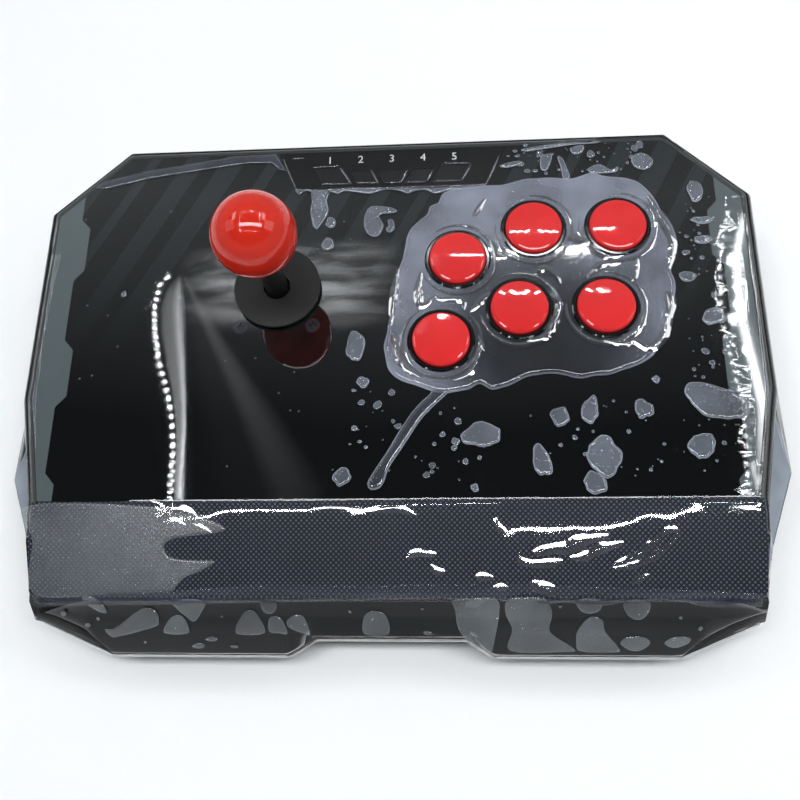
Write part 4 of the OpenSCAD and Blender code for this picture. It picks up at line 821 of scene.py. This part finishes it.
# slopes of the flanks, then steps along and across, how round the crest is, how the ends thin out, and how much
# flatter upright stretches are past rightFrom
foldSetup = {"deck": 0.28, "wrist": 0.18, "keys": 0.6, "collars": 0.13, "keyHalf": 0.5, "pitch": 0.6, "half": 6,
             "soft": 0.03, "endShare": 0.06, "endSpan": 0.88, "endPower": 0.6, "flatter": 0.45, "rightFrom": 60,
             "wideWave": 0.3, "highWave": 0.25}


def ledgeHeight(y):
    # the case's own height in front: the wrist rest, the ledge down to its crease, and on to the lip
    if y > ledge["edge"]:
        return slopeHeight(y)
    line = ledge["line"]
    (y0, z0), (y1, z1) = line[:2] if y > line[1][0] else line[1:]
    return z0 + (y - y0) * (z0 - z1) / (y0 - y1)


def curvePoints(ends, pitch, count=None):
    # a smooth curve through all but the first and the last point, in even steps; its own last point is left off
    line = []
    for p0, p1, p2, p3 in zip(ends, ends[1:], ends[2:], ends[3:]):
        steps = count or max(2, round((p2 - p1).length / pitch))
        for k in range(steps):
            t = k / steps
            line.append(0.5 * ((2 * p1) + (p2 - p0) * t + (2 * p0 - 5 * p1 + 4 * p2 - p3) * t * t
                               + (3 * p1 - p0 - 3 * p2 + p3) * t ** 3))
    return line


def softLoop(points, count=None):
    spots = [Vector(p) for p in points]
    return curvePoints(spots[-1:] + spots + spots[:2], pocketSetup["outlinePitch"], count)


def openCurve(points, pitch):
    spots = [Vector(p) for p in points]
    return curvePoints([2 * spots[0] - spots[1]] + spots + [2 * spots[-1] - spots[-2]], pitch) + spots[-1:]


def straightLoop(points):
    # the outline itself, in even steps
    loop = []
    for a, b in zip(points, points[1:] + points[:1]):
        a, b = Vector(a), Vector(b)
        steps = max(1, round((b - a).length / pocketSetup["outlinePitch"]))
        loop += [a.lerp(b, k / steps) for k in range(steps)]
    return loop


def roughLoop(points, reach):
    # a smooth loop whose edge wanders in and out by about reach
    loop = softLoop(points)
    wander = []
    for i, spot in enumerate(loop):
        ahead = (loop[(i + 1) % len(loop)] - loop[i - 1]).normalized()
        shift = reach * (wave(*spot, (8, 8, 6.0)) + 0.2 * wave(*spot, (3, 3, 8.0)))
        wander.append(spot + Vector((ahead.y, -ahead.x)) * shift)
    return wander


def blobLoop(x, y, wide, deep, turn, seed):
    # an uneven oval, turned by some degrees; its waves are height, rate round the oval and step per seed
    loop = []
    angle = math.radians(turn)
    for k in range(pocketSetup["points"]):
        a = 2 * math.pi * k / pocketSetup["points"]
        reach = 1
        for high, rate, step in pocketSetup["waves"]:
            reach += high * noise.noise(Vector((math.cos(a) * rate, math.sin(a) * rate, seed * step)))
        px, py = wide * reach * math.cos(a), deep * reach * math.sin(a)
        loop.append(Vector((x + px * math.cos(angle) - py * math.sin(angle),
                            y + px * math.sin(angle) + py * math.cos(angle))))
    return loop


def islandMesh(mesh, loop, height, rim, base):
    # an island: a steep rim made of rings moved inwards, then a flat crown filled with triangles
    area = sum(a.x * b.y - b.x * a.y for a, b in zip(loop, loop[1:] + loop[:1])) / 2
    line = loop[::-1] if area > 0 else loop
    rim = min(rim, 0.42 * math.sqrt(abs(area) / math.pi))
    rings = [[mesh.verts.new((*q, base(*q) + rise * height)) for q in insetLine(line, share * rim)]
             for share, rise in rimSteps]
    for previous, ring in zip(rings, rings[1:]):
        for k in range(len(ring)):
            j = (k + 1) % len(ring)
            mesh.faces.new((previous[k], previous[j], ring[j], ring[k]))
    crown = rings[-1]
    edges = [mesh.edges.get((crown[k], crown[(k + 1) % len(crown)])) for k in range(len(crown))]
    bmesh.ops.triangle_fill(mesh, edges=edges, use_beauty=True)


def foldRibbon(mesh, crest, wide, slope, base):
    # one fold: a crest with even flanks that thins out at both ends
    setup = foldSetup
    line = openCurve(crest, setup["pitch"])
    half, soft = setup["half"], setup["soft"]
    peak = math.sqrt(1 + soft) - math.sqrt(soft)
    previous = None
    for i, spot in enumerate(line):
        ahead = (line[min(i + 1, len(line) - 1)] - line[max(i - 1, 0)]).normalized()
        side = Vector((ahead.y, -ahead.x))
        taper = math.sin(math.pi * (setup["endShare"] + setup["endSpan"] * i / (len(line) - 1))) ** setup["endPower"]
        taper *= 0.85 + setup["wideWave"] * wave(*spot, (5, 5, wide))
        high = wide * taper * slope * (1 - setup["flatter"] * abs(ahead.y) * (spot.x > setup["rightFrom"]))
        high *= 1 + setup["highWave"] * wave(*spot, (3, 3, 2.2))
        row = []
        for k in range(2 * half + 1):
            a = k / half - 1
            q = spot + side * a * wide * taper
            row.append(mesh.verts.new((*q, base(*q) + high * (math.sqrt(1 + soft) - math.sqrt(a * a + soft)) / peak)))
        if previous:
            for k in range(2 * half):
                mesh.faces.new((previous[k], previous[k + 1], row[k + 1], row[k]))
        previous = row


def finishPiece(mesh, name, material):
    bmesh.ops.recalc_face_normals(mesh, faces=mesh.faces)
    if sum(face.normal.z for face in mesh.faces) < 0:
        bmesh.ops.reverse_faces(mesh, faces=mesh.faces)
    piece = meshObject(mesh, name)
    piece.data.materials.append(material)
    makeActive(piece)
    bpy.ops.object.shade_smooth()
    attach(piece, "case")
    return piece


def filmPiece(name, draw, parts, base, material):
    # draws every part of a piece, pockets with islandMesh and folds with foldRibbon, on the given base
    mesh = bmesh.new()
    for part in parts:
        draw(mesh, *part, base)
    return finishPiece(mesh, name, material)


def deckBase(x, y):
    return slopeHeight(y) + filmShape["gap"] + filmLift(x, y) + pocketSetup["skin"]


def ledgeBase(x, y):
    return ledgeHeight(y) + filmShape["gap"] + ledge["lift"]


def bandBase(x, y):
    # film that tents from the front edge of the wrist rest down to the ledge
    if y >= band["edge"]:
        return deckBase(x, y) + band["lift"]
    drop = min(1.0, (band["edge"] - y) / band["reach"])
    high, low = slopeHeight(band["edge"]) + band["edgeLift"], ledgeHeight(band["foot"]) + band["footLift"]
    return high * (1 - drop) + low * drop


def crownBase(x, y):
    # the top of the patch of air round the buttons
    return deckBase(x, y) + pocketSetup["patchHeight"] - pocketSetup["skin"]


def smallSpots(setup):
    # small round pockets: all over the free deck, fewer on the left, then in crowds
    spots = []
    low, high = setup["smallSize"]
    for k in range(setup["smallCount"] * 4):
        cell = noise.cell_vector(Vector((k * 1.37, setup["seed"], 0.7)) * 7.3)
        x = setup["half"] * (2 * cell.x - 1) if k % 3 else setup["right"][0] + setup["right"][1] * cell.x
        y = setup["deep"][0] + setup["deep"][1] * cell.y
        outside = abs(x) > setup["sideEnd"] or (y > setup["backCorner"][1] and abs(x) > setup["backCorner"][0])
        outside |= x < 0 and cell.z > setup["leftShare"]
        west, east, south, north = setup["patchBox"]
        covered = west < x < east and south < y < north or abs(x) < setup["keyBox"][0] and y > setup["keyBox"][1]
        covered |= math.hypot(x - leverSpot[0], y - leverSpot[1]) < setup["leverClear"]
        if outside or covered or len(spots) >= setup["smallCount"]:
            continue
        size = low + (high - low) * cell.z ** 2
        spots.append((x, y, size, size, 0))
    for west, east, south, north, count in setup["crowds"]:
        for k in range(count):
            cell = noise.cell_vector(Vector((k * 9.7, west * 3.1, 11.3)))
            x, y = west + (east - west) * cell.x, south + (north - south) * cell.y
            size = low + (setup["crowdSize"] - low) * cell.z ** 3
            spots.append((x, y, size, size * (0.7 + 0.5 * cell.x), 0))
    return spots


deckVeil = veiledFilm("film_over_air", "#a8b0bd", 0.33, 0.04, 0.45)
patchVeil = veiledFilm("film_over_air_patch", "#a8aebf", 0.5, 0.04, 0.35, clearSpot=((68, 8, 53.3), 20, 68, 0.08))
channelVeil = veiledFilm("film_over_air_channel", "#a6acbc", 0.12, 0.04, 0.5)
ledgeVeil = veiledFilm("film_over_air_ledge", "#9ea4a8", 0.27, 0.1, 0.1)
# painted sheen: a pale veil for the soft lamp reflection on the left of the wrist rest
wristPaintedSheen = veiledFilm("film_wrist_painted_sheen", "#b0b6ba", 0.17, 0.24, 0.1)
bandTone = veiledFilm("film_over_air_band", "#8f97aa", 0.04, 0.1, 0.1, 1.36)
wingVeil = veiledFilm("film_over_air_wing", "#a8b2bd", 0.62, 0.12)
foldClear = veiledFilm("film_fold", "#d9def0", 0.05, 0.05, 0.2, 2.7)
patch = filmPiece("film_button_patch", islandMesh, [(roughLoop(buttonPatch, 0.8), pocketSetup["patchHeight"], 2.0)],
                  deckBase, patchVeil)
cutHoles(patch, rimHoles)
blobs = [(blobLoop(*spot, seed), pocketSetup["deckHeight"], 1.2) for seed, spot in enumerate(deckPockets)]
blobs += [(softLoop(loop), pocketSetup["deckHeight"], 0.9) for loop in backPockets]
deckDots = [(blobLoop(*spot, seed)[::4], 0.2, 0.4) for seed, spot in enumerate(smallSpots(pocketSetup))]
onLedge = [(softLoop(loop, 4), 0.25, 0.6) for loop in ledgePockets]
onLedge += [(blobLoop(*spot, seed + 60)[::4], 0.15, 0.3) for seed, spot in enumerate(ledgeDots)]
bands = [(straightLoop(line), 0.3, 0.5) for line in (leftBand, rightBand)]
for name, parts, base, veil in (
        ("film_deck_pockets", blobs, deckBase, deckVeil), ("film_deck_dots", deckDots, deckBase, deckVeil),
        ("film_back_fold", [(straightLoop(backVeil), 0.3, 0.6)], deckBase, channelVeil),
        ("film_air_channel", [(softLoop(airChannel), 0.9, 1.6)], deckBase, channelVeil),
        ("film_strip_fringe", [(softLoop(stripFringe), 0.4, 0.7)], deckBase, deckVeil),
        ("film_ledge_pockets", onLedge, ledgeBase, ledgeVeil),
        ("film_wrist_sheen_veil", [(softLoop(wristSheenOutline), 0.35, 1.0)], deckBase, wristPaintedSheen),
        ("film_wrist_band", bands, bandBase, bandTone)):
    filmPiece(name, islandMesh, parts, base, veil)
collars = [([(x + collar["radius"] * math.cos(math.radians(a)), y + collar["radius"] * math.sin(math.radians(a)))
             for a in range(start, start + collar["sweep"], collar["step"])], collar["half"])
           for (x, y), start in zip(buttonSpots, collar["starts"])]
keyCrests = [(crest, foldSetup["keyHalf"]) for crest in keyFolds]
for name, folds, slope, base in (
        ("film_wrist_folds", wristFolds, "wrist", deckBase), ("film_patch_folds", patchFolds, "deck", crownBase),
        ("film_rim_collars", collars, "collars", crownBase), ("film_key_folds", keyCrests, "keys", deckBase)):
    filmPiece(name, foldRibbon, [(*fold, foldSetup[slope]) for fold in folds], base, foldClear)
print("stage: air pockets")


# Loose film that spans from the seam of the shells out to each wing's edge, with air under it

wingFilm = {"inner": pairs(165, -13, 156, -58.5, 152.3, -97),
            "outer": pairs(166.4, -13, 169.3, -44, 157.8, -75, 152.6, -97),
            "rows": 57, "pitch": 1.5, "spans": 6, "seamZ": 39.0, "fall": 4.2, "crown": 0.35, "wave": 0.25}


def wingVeilPiece(name, side, setup):
    def at(line, y):
        for a, b in zip(line, line[1:]):
            if y >= b[1] - 1e-6:
                return a[0] + (b[0] - a[0]) * (a[1] - y) / (a[1] - b[1])
        return line[-1][0]

    mesh = bmesh.new()
    previous = None
    for k in range(setup["rows"]):
        y = setup["inner"][0][1] - k * setup["pitch"]
        row = []
        for c in range(setup["spans"] + 1):
            share = c / setup["spans"]
            x = at(setup["inner"], y) + (at(setup["outer"], y) - at(setup["inner"], y)) * share
            crown = setup["crown"] * math.sin(math.pi * share) + setup["wave"] * wave(x, y, (7, 9, side))
            row.append(mesh.verts.new((side * x, y, setup["seamZ"] - setup["fall"] * share + crown)))
        if previous:
            for c in range(setup["spans"]):
                mesh.faces.new((previous[c], previous[c + 1], row[c + 1], row[c])[::-side])
        previous = row
    finishPiece(mesh, name, wingVeil)


wingVeilPiece("film_wing_veil_left", -1, wingFilm)
wingVeilPiece("film_wing_veil_right", 1, wingFilm)
print("stage: wing film")


# Numbers over the keys, printed white on the strip

keyNumbers = {"size": 5.6, "level": 52.03, "row": 106.2, "thick": 0.01,
              "places": [(-29.5, "1"), (-14.8, "2"), (0, "3"), (14.8, "4"), (29.5, "5")]}


def printedNumbers(setup):
    ink, shader, add = startMaterial("white_screen_ink")
    speck = add("TexNoise", {"Vector": objectPoint(add), "Scale": 900.0})
    tone = add("ValToRGB", (speck,), [(0.3, linear("#c9cccd")), (0.6, linear("#e8eaea"))])
    feed(shader, {"Base Color": tone, "Roughness": 0.5})
    digits = []
    for x, digit in setup["places"]:
        deselectAll()
        bpy.ops.object.text_add(location=(x * mm, setup["row"] * mm, setup["level"] * mm))
        text = bpy.context.object
        text.data.body = digit
        text.data.size = setup["size"] * mm
        text.data.align_x = text.data.align_y = "CENTER"
        text.data.extrude = setup["thick"] * mm
        bpy.ops.object.convert(target="MESH")
        digits.append(bpy.context.object)
    deselectAll()
    for digit in digits:
        digit.select_set(True)
    bpy.context.view_layer.objects.active = digits[0]
    bpy.ops.object.join()
    numbers = bpy.context.object
    numbers.name = "key_numbers"
    applyAll(numbers)
    numbers.data.materials.clear()
    numbers.data.materials.append(ink)
    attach(numbers, "case")


printedNumbers(keyNumbers)
print("stage: key numbers")
